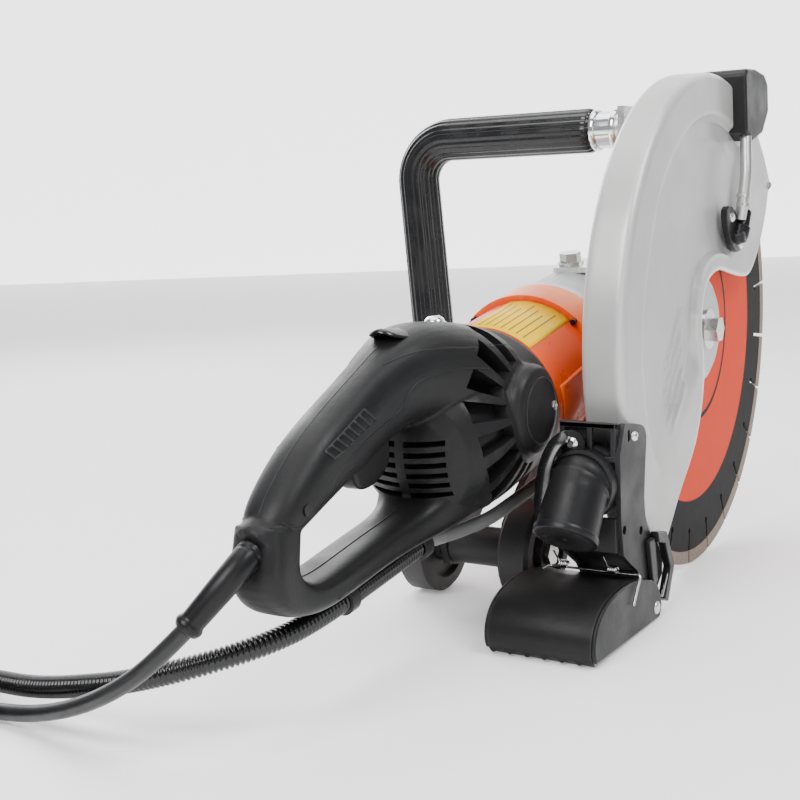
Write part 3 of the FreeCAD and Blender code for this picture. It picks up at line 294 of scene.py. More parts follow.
SILVER = guard_paint()
ORANGE = orange_paint("orange_housing")
PLASTIC = grained_plastic("black_grained", (0.0075, 0.0075, 0.008), 0.42, 0.07)
SMOOTH_PLASTIC = grained_plastic("black_smooth", (0.006, 0.006, 0.0065), 0.33, 0.03)
RUBBER = glossy_black("black_rubber", 0.24)
STRAP_RUBBER = glossy_black("strap_rubber", 0.2)
CONDUIT = glossy_black("conduit_black", 0.18)
CABLE = glossy_black("cable_black", 0.36, (0.007, 0.007, 0.0075))
ZINC = turned_metal("zinc_plate", (0.68, 0.68, 0.66), 0.26)
CHROME = turned_metal("chrome", (0.82, 0.82, 0.82), 0.1)
TUBE = turned_metal("tube_silver", (0.60, 0.60, 0.59), 0.34)
STEEL = turned_metal("turned_steel", (0.46, 0.46, 0.46), 0.32)
COPPER = turned_metal("copper_windings", (0.55, 0.24, 0.09), 0.35)
IRON = turned_metal("core_iron", (0.22, 0.22, 0.23), 0.5)
HOSE = grained_plastic("hose_grey", (0.13, 0.13, 0.13), 0.42, 0.03)
CARBON = grained_plastic("carbon", (0.03, 0.03, 0.03), 0.6, 0.1)
TYRE = tyre_rubber()
CASTING = cast_metal()
FINISH_OF_SLOT = {
    "guard_silver": SILVER, "orange_housing": ORANGE, "black_plastic": PLASTIC,
    "black_rubber": RUBBER, "tyre_black": TYRE, "case_grey": CASTING, "zinc": ZINC,
    "chrome": CHROME, "steel": STEEL, "blade_paint": blade_face(), "segment": segment_metal(),
    "core_iron": IRON, "copper": COPPER, "grey_hose": HOSE, "black_conduit": CONDUIT,
    "black_cable": CABLE, "brush_carbon": CARBON,
}
FINISH_OF_NODE = {"housing_screws": turned_metal("black_oxide", (0.03, 0.03, 0.03), 0.4)}
for entry in frame["record"]["subparts"]:
    node = bpy.data.objects[entry["node"]]
    node.data.materials.clear()
    finish = FINISH_OF_NODE.get(entry["node"], FINISH_OF_SLOT[entry["material_slot"]])
    node.data.materials.append(finish.material)


# ---------------------------------------------------------------- making pieces


def mesh_data(name, mesh):
    """A finished bmesh as mesh data."""
    data = bpy.data.meshes.new(name)
    mesh.to_mesh(data)
    mesh.free()
    return data


def placed(name, data):
    """A new object in the scene."""
    made = bpy.data.objects.new(name, data)
    bpy.context.scene.collection.objects.link(made)
    return made


def piece(name, mesh, finish, body, smooth=50, replaces=()):
    """A mesh, or a bmesh, as an object that rides on a body; edges sharper than smooth stay crisp."""
    if isinstance(mesh, bmesh.types.BMesh):
        bmesh.ops.recalc_face_normals(mesh, faces=mesh.faces)
        data = mesh_data(name, mesh)
    else:
        data = mesh
    made = placed(name, data)
    data.materials.clear()
    data.materials.append(finish.material)
    data.shade_smooth()
    if smooth < 180:
        data.set_sharp_from_angle(angle=math.radians(smooth))
    if replaces:
        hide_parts(*replaces)
    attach(made, body)
    return made


def applied(made):
    """The piece with modifiers used up, so that what they make can be measured and cut."""
    graph = bpy.context.evaluated_depsgraph_get()
    graph.update()
    mesh = bpy.data.meshes.new_from_object(made.evaluated_get(graph))
    old = made.data
    made.modifiers.clear()
    made.data = mesh
    bpy.data.meshes.remove(old)
    return made


def modify(made, kind, **values):
    modifier = made.modifiers.new(kind.lower(), kind)
    for key, value in values.items():
        setattr(modifier, key, value)
    return made


def skin(mesh, rings, closed_ends=True, round_trip=False):
    """Joins rings of points, each as long as the next, into a tube."""
    loops = [[mesh.verts.new(point) for point in ring] for ring in rings]
    count = len(loops[0])
    pairs = list(zip(loops, loops[1:]))
    if round_trip:
        pairs.append((loops[-1], loops[0]))
    for first, second in pairs:
        for index in range(count):
            after = (index + 1) % count
            mesh.faces.new((first[index], first[after], second[after], second[index]))
    if closed_ends and not round_trip:
        mesh.faces.new(reversed(loops[0]))
        mesh.faces.new(loops[-1])
    return mesh


def smoothed(points, rounds=2):
    """An open line with its corners cut, keeping its two ends."""
    for _ in range(rounds):
        cut = [points[0]]
        for first, second in zip(points, points[1:]):
            cut.append(tuple(0.75 * a + 0.25 * b for a, b in zip(first, second)))
            cut.append(tuple(0.25 * a + 0.75 * b for a, b in zip(first, second)))
        cut.append(points[-1])
        points = cut
    return points


def rounded(points, rounds=2):
    """A closed outline with its corners cut."""
    for _ in range(rounds):
        cut = []
        for first, second in zip(points, points[1:] + points[:1]):
            cut.append(tuple(0.75 * a + 0.25 * b for a, b in zip(first, second)))
            cut.append(tuple(0.25 * a + 0.75 * b for a, b in zip(first, second)))
        points = cut
    return points


def plate(mesh, outline, low, high, place=at, holes=()):
    """An outline in a side view, thickened across from low to high, with holes right through."""
    loops = []
    for line in [outline, *holes]:
        loops.append([mesh.verts.new(place(a, low, b)) for a, b in line])
    edges = []
    for loop in loops:
        for first, second in zip(loop, loop[1:] + loop[:1]):
            edges.append(mesh.edges.new((first, second)))
    faces = bmesh.ops.triangle_fill(mesh, edges=edges, use_beauty=True)["geom"]
    faces = [face for face in faces if isinstance(face, bmesh.types.BMFace)]
    bmesh.ops.dissolve_limit(
        mesh, angle_limit=0.01, verts=[v for loop in loops for v in loop], edges=list(mesh.edges))
    faces = [face for face in mesh.faces if face.verts[0] in set(sum(loops, []))]
    grown = bmesh.ops.extrude_face_region(mesh, geom=faces)["geom"]
    shift = place(0, high, 0) - place(0, low, 0)
    bmesh.ops.translate(mesh, vec=shift, verts=[v for v in grown if isinstance(v, bmesh.types.BMVert)])
    return mesh


def lathe(mesh, outline, start, heading, steps=64):
    """An outline of (distance along, radius), in millimetres, turned about a heading."""
    heading = Vector(heading).normalized()
    side = heading.orthogonal().normalized()
    other = heading.cross(side)
    rings = []
    for index in range(steps):
        turn = 2 * math.pi * index / steps
        out = side * math.cos(turn) + other * math.sin(turn)
        rings.append([start + (heading * a + out * r) * MM for a, r in outline])
    return skin(mesh, rings, round_trip=True)


def frames_along(points, side_hint):
    """For each point of a line, its heading and two directions across it that don't twist."""
    headings = []
    for index in range(len(points)):
        before = points[max(0, index - 1)]
        after = points[min(len(points) - 1, index + 1)]
        headings.append((after - before).normalized())
    side = (side_hint - headings[0] * side_hint.dot(headings[0])).normalized()
    made = []
    for heading in headings:
        side = (side - heading * side.dot(heading)).normalized()
        made.append((heading, side, heading.cross(side)))
    return made


def sweep(mesh, points, section, side_hint=Vector((0, 0, 1)), closed_ends=True):
    """Carries a section along a line; section gives (across, up) offsets in mm at a step's index."""
    rings = []
    for index, (_, side, other) in enumerate(frames_along(points, side_hint)):
        ring = [points[index] + (side * a + other * b) * MM for a, b in section(index)]
        rings.append(ring)
    return skin(mesh, rings, closed_ends)


def circle(radius, steps=20):
    return [(radius * math.cos(2 * math.pi * i / steps), radius * math.sin(2 * math.pi * i / steps))
            for i in range(steps)]


def ring_outline(x, z, radius, steps=20):
    return [(x + a, z + b) for a, b in circle(radius, steps)]


def bent_line(points, radii, spacing=3.0):
    """A line through corner points, each corner rounded to a radius in millimetres."""
    line = [points[0]]
    for before, corner, after, radius in zip(points, points[1:], points[2:], radii):
        back = (before - corner).normalized()
        ahead = (after - corner).normalized()
        half = back.angle(ahead) / 2
        reach = radius * MM / math.tan(half)
        middle = corner + (back + ahead).normalized() * (radius * MM / math.sin(half))
        start = corner + back * reach - middle
        turn = math.pi - 2 * half
        axis = back.cross(ahead).normalized() * -1
        steps = max(4, int(turn * radius / spacing))
        for index in range(steps + 1):
            line.append(middle + Matrix.Rotation(turn * index / steps, 3, axis) @ start)
    line.append(points[-1])
    return evenly(line, spacing)


def evenly(points, spacing):
    """The same line with points about a spacing apart, in millimetres."""
    lengths = [0.0]
    for first, second in zip(points, points[1:]):
        lengths.append(lengths[-1] + (second - first).length)
    count = max(2, round(lengths[-1] / (spacing * MM)))
    made = []
    index = 0
    for step in range(count + 1):
        want = lengths[-1] * step / count
        while index < len(points) - 2 and lengths[index + 1] < want:
            index += 1
        share = (want - lengths[index]) / max(1e-9, lengths[index + 1] - lengths[index])
        made.append(points[index].lerp(points[index + 1], min(1, max(0, share))))
    return made


def bevelled(made, width, segments=3, angle=40):
    return modify(made, "BEVEL", width=width * MM, segments=segments, limit_method="ANGLE",
                  angle_limit=math.radians(angle), harden_normals=True)


def turned(name, outline, start, heading, steps, finish, body, smooth=50, replaces=()):
    """One lathed outline as a piece of its own."""
    mesh = bmesh.new()
    lathe(mesh, outline, start, heading, steps)
    return piece(name, mesh, finish, body, smooth, replaces)


def cut_plate(name, outline, low, high, finish, body, edge, replaces=(), place=at, holes=()):
    """A black plate as a piece of its own; edge is its bevel's width, segments and least angle."""
    mesh = bmesh.new()
    plate(mesh, outline, low, high, place, holes)
    made = piece(name, mesh, finish, body, 35, replaces)
    return bevelled(made, *edge)


# ---------------------------------------------------------------- camera and cords

camera = placed("camera", bpy.data.cameras.new("camera"))
LOOK = Vector((0.8456, 0.51213, -0.1506)).normalized()
UP = Vector((0.14748, 0.04701, 0.98795)).normalized()
RIGHT = LOOK.cross(UP).normalized()
turn = Matrix((RIGHT, RIGHT.cross(LOOK), -LOOK)).transposed()
camera.matrix_world = Matrix.Translation(at(-949.4, -312.1, 102.3)) @ turn.to_4x4()
camera.data.lens = 58.37
camera.data.sensor_width = 36
camera.data.clip_start = 0.01
bpy.context.scene.camera = camera

CABLE_RADIUS = 0.00475
COIL_MIDDLE = Vector((-0.540, 0.300, -0.1775))
COIL_RADII = [0.0615, 0.0520, 0.0425]
COIL_STEPS = 14
COIL_LIFT = 0.0053
LAYER_HEIGHT = 0.0088
PLUG_START = (-0.588, 0.251, -0.1595)
CABLE_POINTS = [
    (-0.474, 0.106, -0.105), (-0.4817, 0.1196, -0.1204), (-0.484, 0.141, -0.1365),
    (-0.483, 0.167, -0.1505), (-0.480, 0.195, -0.1615), (-0.477, 0.224, -0.169),
    (-0.476, 0.254, -0.1722), (-0.478, 0.284, -0.1722),
]
CONDUIT_POINTS = [
    (-0.3675, 0.085, -0.119), (-0.3949, 0.0874, -0.1235), (-0.4218, 0.0952, -0.127),
    (-0.4442, 0.112, -0.1315), (-0.459, 0.1358, -0.138), (-0.4643, 0.1632, -0.1455),
    (-0.4633, 0.1932, -0.1525), (-0.4596, 0.223, -0.1595), (-0.455, 0.252, -0.1645),
    (-0.4525, 0.281, -0.166),
]


def route_curve(name, points, radius):
    """A cord's own line: one open NURBS spline through the air and over the ground."""
    curve = bpy.data.curves.new(name, "CURVE")
    curve.dimensions = "3D"
    spline = curve.splines.new("NURBS")
    spline.points.add(len(points) - 1)
    for place, point in zip(spline.points, points):
        place.co = (*(HUB + Vector(point)), 1)
        place.radius = radius
    spline.order_u = 3
    spline.use_endpoint_u = True
    curve.resolution_u = 6
    curve.bevel_depth = 1.0
    curve.bevel_resolution = 6
    curve.use_fill_caps = True
    return placed(name, curve)


def line_of(made):
    """The points that a route's spline really passes through."""
    depth = made.data.bevel_depth
    caps = made.data.use_fill_caps
    made.data.bevel_depth = 0
    made.data.use_fill_caps = False
    bpy.context.view_layer.update()
    mesh = bpy.data.meshes.new_from_object(made)
    points = [vertex.co.copy() for vertex in mesh.vertices]
    bpy.data.meshes.remove(mesh)
    made.data.bevel_depth = depth
    made.data.use_fill_caps = caps
    return points


def coil_points():
    """Turns that lie beside each other, then climb and lie on the layer below."""
    order = [0, 1, 2, 2, 1, 0, 0, 1]
    made = []
    for number, radius_index in enumerate(order[:-1]):
        radius = COIL_RADII[radius_index]
        following = COIL_RADII[order[number + 1]]
        layer = number // 3
        next_layer = (number + 1) // 3
        for step in range(COIL_STEPS):
            share = step / COIL_STEPS
            late = max(0.0, (share - 0.6) / 0.4)
            reach = radius + (following - radius) * late
            level = layer + (next_layer - layer) * late
            angle = 2 * math.pi * share
            height = COIL_LIFT + level * LAYER_HEIGHT
            made.append((COIL_MIDDLE.x + reach * math.cos(angle),
                         COIL_MIDDLE.y + reach * math.sin(angle), COIL_MIDDLE.z + height))
    return made


def mains_cable():
    """The cable from its sleeve to the coil, round the coil and into the plug."""
    turns = coil_points()
    height = COIL_LIFT + 2 * LAYER_HEIGHT
    angles = [2 * math.pi * step / COIL_STEPS for step in range(COIL_STEPS // 2)]
    last = [(COIL_MIDDLE.x + COIL_RADII[1] * math.cos(angle),
             COIL_MIDDLE.y + COIL_RADII[1] * math.sin(angle), COIL_MIDDLE.z + height)
            for angle in angles]
    tail = [(-0.5895, 0.292, -0.1555), (-0.588, 0.275, -0.1575), PLUG_START]
    cable = route_curve("mains_cable", CABLE_POINTS + turns + last + tail, CABLE_RADIUS)
    cable.data.materials.append(CABLE.material)
    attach(cable, "saw_body")
    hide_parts("mains_cord", "mains_cord_coil")


def ribbed_tube(name, line, body_radius, pitch, finish, replaced):
    """A corrugated tube: rounded ridges a pitch apart along a line."""
    steps_per_ridge = 4
    line = evenly(line, pitch / steps_per_ridge)
    swell = [0.0, 0.72, 1.0, 0.72]

    def section(index):
        return circle(body_radius - 1.5 + 1.5 * swell[index % steps_per_ridge], 24)

    mesh = bmesh.new()
    sweep(mesh, line, section)
    return piece(name, mesh, finish, "saw_body", 180, replaced), line


def strain_relief(line):
    """The tapered sleeve that the cable leaves the grip through, with grooves and an end bead."""
    line = evenly(line, 0.8)
    last = len(line) - 1

    def section(index):
        share = index / last
        radius = 8.4 - 2.0 * share
        if 0.10 < share < 0.13 or 0.2 < share < 0.22:
            radius -= 0.5
        if share > 0.9:
            radius += 1.3 * math.sin(math.pi * (share - 0.9) / 0.1)
        return circle(radius, 28)

    mesh = bmesh.new()
    sweep(mesh, line, section)
    piece("cable_sleeve", mesh, SMOOTH_PLASTIC, "saw_body", 70, ["strain_relief"])


mains_cable()
conduit_route = route_curve("conduit_route", CONDUIT_POINTS, 0.0065)
conduit_line = line_of(conduit_route)
bpy.data.objects.remove(conduit_route)
conduit, conduit_path = ribbed_tube(
    "hose_cover", conduit_line, 6.5, 2.9, CONDUIT, ["hose_conduit"])
ribbed_tube("held_conduit", [motor(-383, 0, -50), motor(-285, 0, -56.5)], 6.5, 2.9,
            CONDUIT, ["conduit_run"])
RELIEF_LINE = bent_line([at(-434.5, 85, -66.2), at(-459, 88, -80), at(-474, 106, -105)], [38], 1)
strain_relief(RELIEF_LINE)


# ---------------------------------------------------------------- floor and light


def stage_sheet(name, material):
    """A twelve-metre square that isn't part of the saw."""
    mesh = bmesh.new()
    bmesh.ops.create_grid(mesh, x_segments=1, y_segments=1, size=6)
    sheet = placed(name, mesh_data(name, mesh))
    sheet.data.materials.append(material)
    return sheet


def studio():
    """A pale floor, a glowing backdrop behind the saw, and five soft lamps."""
    floor = stage_sheet("floor", floor_paper().material)
    floor.location = (0, 0, -0.0004)
    glow = bpy.data.materials.new("backdrop_glow")
    glow.use_nodes = True
    shader = glow.node_tree.nodes["Principled BSDF"]
    shader.inputs["Emission Color"].default_value = (1, 1, 1, 1)
    shader.inputs["Emission Strength"].default_value = 2.4
    backdrop = stage_sheet("backdrop", glow)
    away = Vector((LOOK.x, LOOK.y, 0)).normalized()
    backdrop.location = away * 4.5 + Vector((0, 0, 0.5))
    backdrop.rotation_euler = away.to_track_quat("Z", "Y").to_euler()
    world = bpy.data.worlds.new("studio")
    world.use_nodes = True
    world.node_tree.nodes["Background"].inputs["Color"].default_value = (0.93, 0.95, 1.0, 1)
    world.node_tree.nodes["Background"].inputs["Strength"].default_value = 0.42
    bpy.context.scene.world = world
    lamps = (
        ("key", (-1.7, 0.15, 1.6), 1.1, 50),
        ("side", (-0.1, -1.1, 1.7), 0.7, 26),
        ("front", (-1.4, -1.5, 0.5), 1.0, 8),
        ("top", (0.1, 0.3, 2.1), 1.4, 25),
        ("rim", (0.9, 1.3, 1.1), 0.9, 16),
    )
    for name, place, size, power in lamps:
        light = bpy.data.lights.new(name, "AREA")
        light.size = size
        light.energy = power
        lamp = placed(name, light)
        lamp.location = place
        toward = Vector((0, 0, 0.17)) - Vector(place)
        lamp.rotation_euler = toward.to_track_quat("-Z", "Y").to_euler()


studio()

# ---------------------------------------------------------------- guard

# Each row: a point (x, z) of the open edge, and the angle round the rim that it is joined to.
RIGHT_EDGE = [
    (145.5, 105.5, 36), (137, 82, 41), (122, 61, 47), (107, 46, 52), (92, 36, 57), (76, 34, 62),
    (47, 38, 72), (11, 45, 90), (-12, 40, 102), (-23, 31, 113), (-28, 19, 125), (-31, 6, 138),
    (-27, -9, 152), (-24, -25, 166), (-26, -42, 180), (-34, -63, 194), (-44, -78, 204),
    (-59, -92, 213), (-79, -107, 221), (-100, -128, 228), (-112, -139, 231),
]
LEFT_EDGE = [
    (145.5, 105.5, 36), (137, 82, 41), (122, 61, 47), (107, 46, 52), (92, 36, 57), (76, 34, 62),
    (52, 22, 68), (30, 22, 76), (6, 34, 90), (-17, 30, 115), (-31, 14, 145), (-34, 0, 170),
    (-31, -14, 195), (-26, -22, 208), (-42, -50, 216), (-74, -98, 224), (-112, -139, 231),
]
LIP_WIDTH = 12
RIM_FILLET = 5.0
RELIEF_DEPTH = 4.0
RIB_LINES = [((-65, 22), (-97, -18)), ((-65, 5), (-100, -34)), ((-64, -8), (-100, -46)),
             ((-63, -21), (-98, -55)), ((-63, -33), (-95, -62))]


def ease(value, low, high):
    share = min(1.0, max(0.0, (value - low) / (high - low)))
    return share * share * (3 - 2 * share)


def gap_to(line, x, z):
    """The shortest distance from a point to a line of points."""
    best = 1e9
    for (ax, az), (bx, bz) in zip(line, line[1:]):
        along = ((x - ax) * (bx - ax) + (z - az) * (bz - az)) / ((bx - ax) ** 2 + (bz - az) ** 2)
        along = min(1.0, max(0.0, along))
        best = min(best, math.hypot(x - ax - along * (bx - ax), z - az - along * (bz - az)))
    return best


def pressed_depth(x, z, edge_line):
    """How far the right side is pressed in: a field between the rim's border and the edge's lip."""
    reach = math.hypot(x, z)
    angle = math.degrees(math.atan2(z, x)) % 360
    border = 157 - 7 * ease(angle, 110, 165)
    inside = ease(border - reach, 0, 3.5)
    lip = ease(gap_to(edge_line, x, z), LIP_WIDTH, LIP_WIDTH + 3.5)
    span = ease(angle, 50, 66) * (1 - ease(angle, 196, 222))
    depth = RELIEF_DEPTH * inside * lip * span
    for start, end in RIB_LINES:
        depth -= 1.5 * (1 - ease(gap_to([start, end], x, z), 0.6, 2.2))
    if 128 < reach < 147 and 66 < angle < 102:
        depth -= 0.7 * (1 - ease(abs(reach - 138), 1, 4)) * ease(angle, 66, 74) * (1 - ease(angle, 94, 102))
    return depth


def side_rows(edge, depth_of, rows=46):
    """Lines of points from the open edge out to where the rim's rounding starts."""
    coarse = [(x, z) for x, z, _ in smoothed(edge, 1)]
    lines = []
    for x, z, angle in smoothed(edge, 3):
        turn_angle = math.radians(angle)
        far = GUARD_RADIUS - RIM_FILLET
        end = (far * math.cos(turn_angle), far * math.sin(turn_angle))
        line = []
        for step in range(rows + 1):
            share = step / rows
            px = x + (end[0] - x) * share
            pz = z + (end[1] - z) * share
            line.append((px, pz, depth_of(px, pz, coarse)))
        lines.append((turn_angle, line))
    return lines


def guard_shell():
    """The guard as one pressed skin: right side, rounded rim and left side, with real thickness."""
    right = side_rows(RIGHT_EDGE, pressed_depth)
    flat_left = side_rows(LEFT_EDGE, lambda x, z, line: 0.0, 20)
    mesh = bmesh.new()
    rounding = [math.radians(90 * k / 6) for k in range(1, 7)]
    columns = []
    for angle, line in right:
        share = 0
        while share < len(flat_left) - 2 and flat_left[share + 1][0] < angle:
            share += 1
        first, second = flat_left[share], flat_left[share + 1]
        part = min(1.0, max(0.0, (angle - first[0]) / (second[0] - first[0])))
        column = [at(x, -GUARD_HALF + depth, z) for x, z, depth in line]
        out = (math.cos(angle), math.sin(angle))
        hub_side = GUARD_RADIUS - RIM_FILLET
        for phi in rounding:
            reach = hub_side + RIM_FILLET * math.sin(phi)
            column.append(at(reach * out[0], -GUARD_HALF + RIM_FILLET * (1 - math.cos(phi)),
                             reach * out[1]))
        for step in range(1, 8):
            y = -GUARD_HALF + RIM_FILLET + step * (2 * GUARD_HALF - 2 * RIM_FILLET) / 8
            column.append(at(GUARD_RADIUS * out[0], y, GUARD_RADIUS * out[1]))
        for phi in reversed([0.0, *rounding]):
            reach = hub_side + RIM_FILLET * math.sin(phi)
            column.append(at(reach * out[0], GUARD_HALF - RIM_FILLET * (1 - math.cos(phi)),
                             reach * out[1]))
        for one, other in reversed(list(zip(first[1], second[1]))[:-1]):
            x = one[0] + (other[0] - one[0]) * part
            z = one[1] + (other[1] - one[1]) * part
            column.append(at(x, GUARD_HALF, z))
        columns.append([mesh.verts.new(point) for point in column])
    for before, after in zip(columns, columns[1:]):
        for index in range(len(before) - 1):
            mesh.faces.new((before[index], before[index + 1], after[index + 1], after[index]))
    made = piece("guard_skin", mesh, SILVER, "guard", 32, ["guard_shell"])
    top = max(made.data.polygons, key=lambda face: face.center.z)
    outward = 1 if top.normal.z > 0 else -1
    modify(made, "SOLIDIFY", thickness=2.2 * MM, offset=-outward)
    mesh = bmesh.new()
    outline = [(12.2, 30.2), (12.2, 38), (19, 38), (20, 37), (20, 31), (19.2, 30.2)]
    lathe(mesh, outline, HUB, ACROSS, 96)
    piece("guard_collar", mesh, SILVER, "guard", 35)


def front_grip_block():
    """The moulded black grip over the front of the rim, with its angled lower face."""
    outline = [(42, 188), (47, 192.5), (70, 193.5), (94, 191), (104, 184), (106, 163), (90, 146),
               (62, 139), (46, 146)]
    cut_plate("front_grip_cover", outline, -25, 9, PLASTIC, "guard", (2.2, 3, 30),
              ["guard_front_grip"])


def water_tube():
    """The satin tube that brings water from under the grip block down to the nozzle."""
    route = [at(62, -18, 156), at(56, -21, 140), at(47, -24, 114), at(43, -23, 94), at(42, -21, 80)]
    mesh = bmesh.new()
    sweep(mesh, bent_line(route, [20, 30, 30], 2), lambda index: circle(4.4, 24), ACROSS)
    piece("water_tube_skin", mesh, TUBE, "guard", 60, ["water_tube"])
    mesh = bmesh.new()
    for height in (98, 91):
        share = (height - 92) / 20
        lathe(mesh, [(-1.1, 4.2), (-1.1, 5.3), (1.1, 5.3), (1.1, 4.2)], at(43 + 2 * share, -23, height),
              (0.1, -0.05, 1), 32)
    piece("tube_clips", mesh, ZINC, "guard", 40)


def water_nozzle():
    """The black inlet block on the guard's side: a flanged foot, a barrel and two screws."""
    foot = rounded([(14, 91), (13, 80), (22, 66), (38, 55), (52, 56), (56, 62), (48, 76), (32, 90)], 1)
    cut_plate("nozzle_foot", foot, -19.5, -14.6, SMOOTH_PLASTIC, "guard", (0.8, 2, 30),
              ["water_nozzle"])
    mesh = bmesh.new()
    lathe(mesh, [(0, 0), (0, 6.2), (2, 7), (9, 7), (10, 6), (22, 5.2), (23, 4.6), (23, 0)],
          at(40, -20.5, 66), (0.46, -0.08, 0.86), 32)
    lathe(mesh, [(0, 0), (0, 5), (8, 5), (9.5, 4), (9.5, 0)], at(39, -17, 67), (0, -1, 0), 24)
    piece("nozzle_barrel", mesh, SMOOTH_PLASTIC, "guard", 40)
    for number, (x, z) in enumerate(((24, 82), (46, 61))):
        mesh = bmesh.new()
        lathe(mesh, [(0, 0), (0, 3.6), (1.2, 3.5), (2.4, 2.2), (2.4, 1.2), (1.4, 0.9), (1.4, 0)],
              at(x, -19.5, z), (0, -1, 0), 24)
        replaced = ["guard_screws"] if number == 0 else []
        piece(f"nozzle_screw_{number}", mesh, ZINC, "guard", 40, replaced)


guard_shell()
front_grip_block()
water_tube()
water_nozzle()


# ---------------------------------------------------------------- rear handle and motor cover

DRUM_OUTLINE = [
    (-183.4, 0), (-183.4, 52.6), (-186, 53.5), (-232, 53.5), (-250, 52.6), (-264, 50),
    (-276, 45.5), (-286, 39), (-293, 31), (-298, 21), (-301, 10), (-302, 0),
]
# Sections of the grip: along the motor, its middle height, half height and half width.
GRIP_SECTIONS = [
    (-441, 17, 9, 11), (-434, 20, 13, 15), (-420, 26, 16, 17), (-403, 32, 19, 18),
    (-387, 36.3, 20.7, 18.4), (-370, 40, 22, 18.6), (-345, 45, 23.5, 18.6), (-322, 50, 24.3, 19.5),
    (-306, 52.5, 25.5, 22), (-290, 53, 28, 27), (-272, 47, 34, 33), (-252, 36, 41, 40),
    (-232, 22, 49, 46), (-214, 10, 54, 50),
]
# The loop behind and below the fingers: its middle (along, up), half thickness and half width.
LOOP_SECTIONS = [
    (-433, 19, 14, 15.5), (-438, 7, 12.5, 17), (-443, -5, 13.5, 17.5), (-438, -17, 12, 17.5),
    (-424, -26, 9.2, 17.5), (-407, -30, 9, 17.5), (-380, -31.2, 9.4, 17.5), (-350, -32.2, 9.7, 17.5),
    (-324, -34, 10.2, 18), (-304, -34.5, 11.5, 21), (-288, -32, 15, 27), (-270, -26, 20, 34),
    (-252, -18, 28, 40), (-236, -10, 36, 42),
]
BOSS = (-216, 9)


def superellipse(half_up, half_across, power, steps=36):
    points = []
    for index in range(steps):
        turn_angle = 2 * math.pi * index / steps
        a, b = math.cos(turn_angle), math.sin(turn_angle)
        points.append((math.copysign(abs(a) ** (2 / power) * half_up, a),
                       math.copysign(abs(b) ** (2 / power) * half_across, b)))
    return points


def handle_body():
    """The cover, grip and loop grown together into one moulded body."""
    mesh = bmesh.new()
    lathe(mesh, DRUM_OUTLINE, motor(0, 0, 0), MOTOR_AXIS, 96)
    rings = []
    for along, up, half_up, half_across in smoothed(GRIP_SECTIONS, 2):
        rings.append([motor(along, b, up + a) for a, b in superellipse(half_up, half_across, 2.5)])
    skin(mesh, rings)
    sections = smoothed(LOOP_SECTIONS, 2)
    line = [motor(along, 0, up) for along, up, _, _ in sections]
    sweep(mesh, line, lambda index: superellipse(sections[index][2], sections[index][3], 3.4),
          MOTOR_AXIS)
    boss = [(36, 0), (36, 30), (50, 29.5), (54, 27), (55.6, 22), (55.9, 0)]
    lathe(mesh, boss, motor(BOSS[0], 0, BOSS[1]), -ACROSS, 72)
    lathe(mesh, [(0, 0), (0, 14), (14, 13.4), (17, 12.6), (17, 0)], motor(-430, 0, 16),
          motor(-450, 2, 10) - motor(-430, 0, 16), 48)
    made = piece("handle_body", mesh, PLASTIC, "saw_body", 42,
                 ["handle_shell_left", "handle_shell_right"])
    modify(made, "REMESH", mode="VOXEL", voxel_size=1.15 * MM)
    modify(made, "SMOOTH", factor=0.5, iterations=7)
    return applied(made)


def box_between(mesh, corners):
    """A six-faced block from its eight corners: four of one end, then the four facing them."""
    verts = [mesh.verts.new(corner) for corner in corners]
    for face in ((0, 1, 2, 3), (7, 6, 5, 4), (0, 4, 5, 1), (1, 5, 6, 2), (2, 6, 7, 3), (3, 7, 4, 0)):
        mesh.faces.new([verts[index] for index in face])


def vent_cutters():
    """Blocks that cut the louvres in the rear face and the fan of slots round the side's boss."""
    mesh = bmesh.new()
    for row in range(6):
        up = 14 - 6.6 * row
        for side in (-1, 1):
            near, far = side * 3.0, side * 28
            corners = []
            for along in (-312, -272):
                corners += [motor(along, near, up - 1.7), motor(along, far, up - 1.7),
                            motor(along, far, up + 1.7), motor(along, near, up + 1.7)]
            box_between(mesh, corners)
    for index in range(9):
        angle = math.radians(104 + 19.5 * index)
        out = (math.cos(angle), math.sin(angle))
        side = (-out[1], out[0])
        corners = []
        for reach, half in ((33.5, 3.9), (62, 6.6)):
            for across, sign in ((-70, -1), (-70, 1), (-12, 1), (-12, -1)):
                corners.append(motor(BOSS[0] + out[0] * reach + side[0] * half * sign, across,
                                     BOSS[1] + out[1] * reach + side[1] * half * sign))
        box_between(mesh, corners)
    return mesh


def cut_by(made, mesh, name):
    """Takes a cutter's solids out of a piece."""
    bmesh.ops.recalc_face_normals(mesh, faces=mesh.faces)
    cutter = placed(name, mesh_data(name, mesh))
    modify(made, "BOOLEAN", operation="DIFFERENCE", object=cutter, solver="EXACT")
    applied(made)
    bpy.data.objects.remove(cutter)


def cover_liner():
    """The dark inner wall seen through the louvres."""
    outline = [(-190, 0)] + [(a + 7 if a < -190 else -190, max(0, r - 7)) for a, r in DRUM_OUTLINE[1:]]
    turned("cover_liner", outline, motor(0, 0, 0), MOTOR_AXIS, 64, SMOOTH_PLASTIC, "saw_body",
           60)


def surface_of(made):
    mesh = bmesh.new()
    mesh.from_mesh(made.data)
    tree = BVHTree.FromBMesh(mesh)
    mesh.free()
    return tree


def laid_on(tree, points, towards_surface, lift):
    """Points dropped onto a surface along a direction, then lifted off it in millimetres."""
    found = []
    for point in points:
        hit, normal, _, _ = tree.ray_cast(point - towards_surface * 0.08, towards_surface, 0.2)
        if hit is not None:
            found.append(hit + normal * lift * MM)
    return found


def bead(name, tree, points, direction, radius, finish, lift=0.0):
    line = laid_on(tree, points, direction, lift)
    mesh = bmesh.new()
    sweep(mesh, line, lambda index: circle(radius, 8), direction)
    piece(name, mesh, finish, "saw_body", 180)


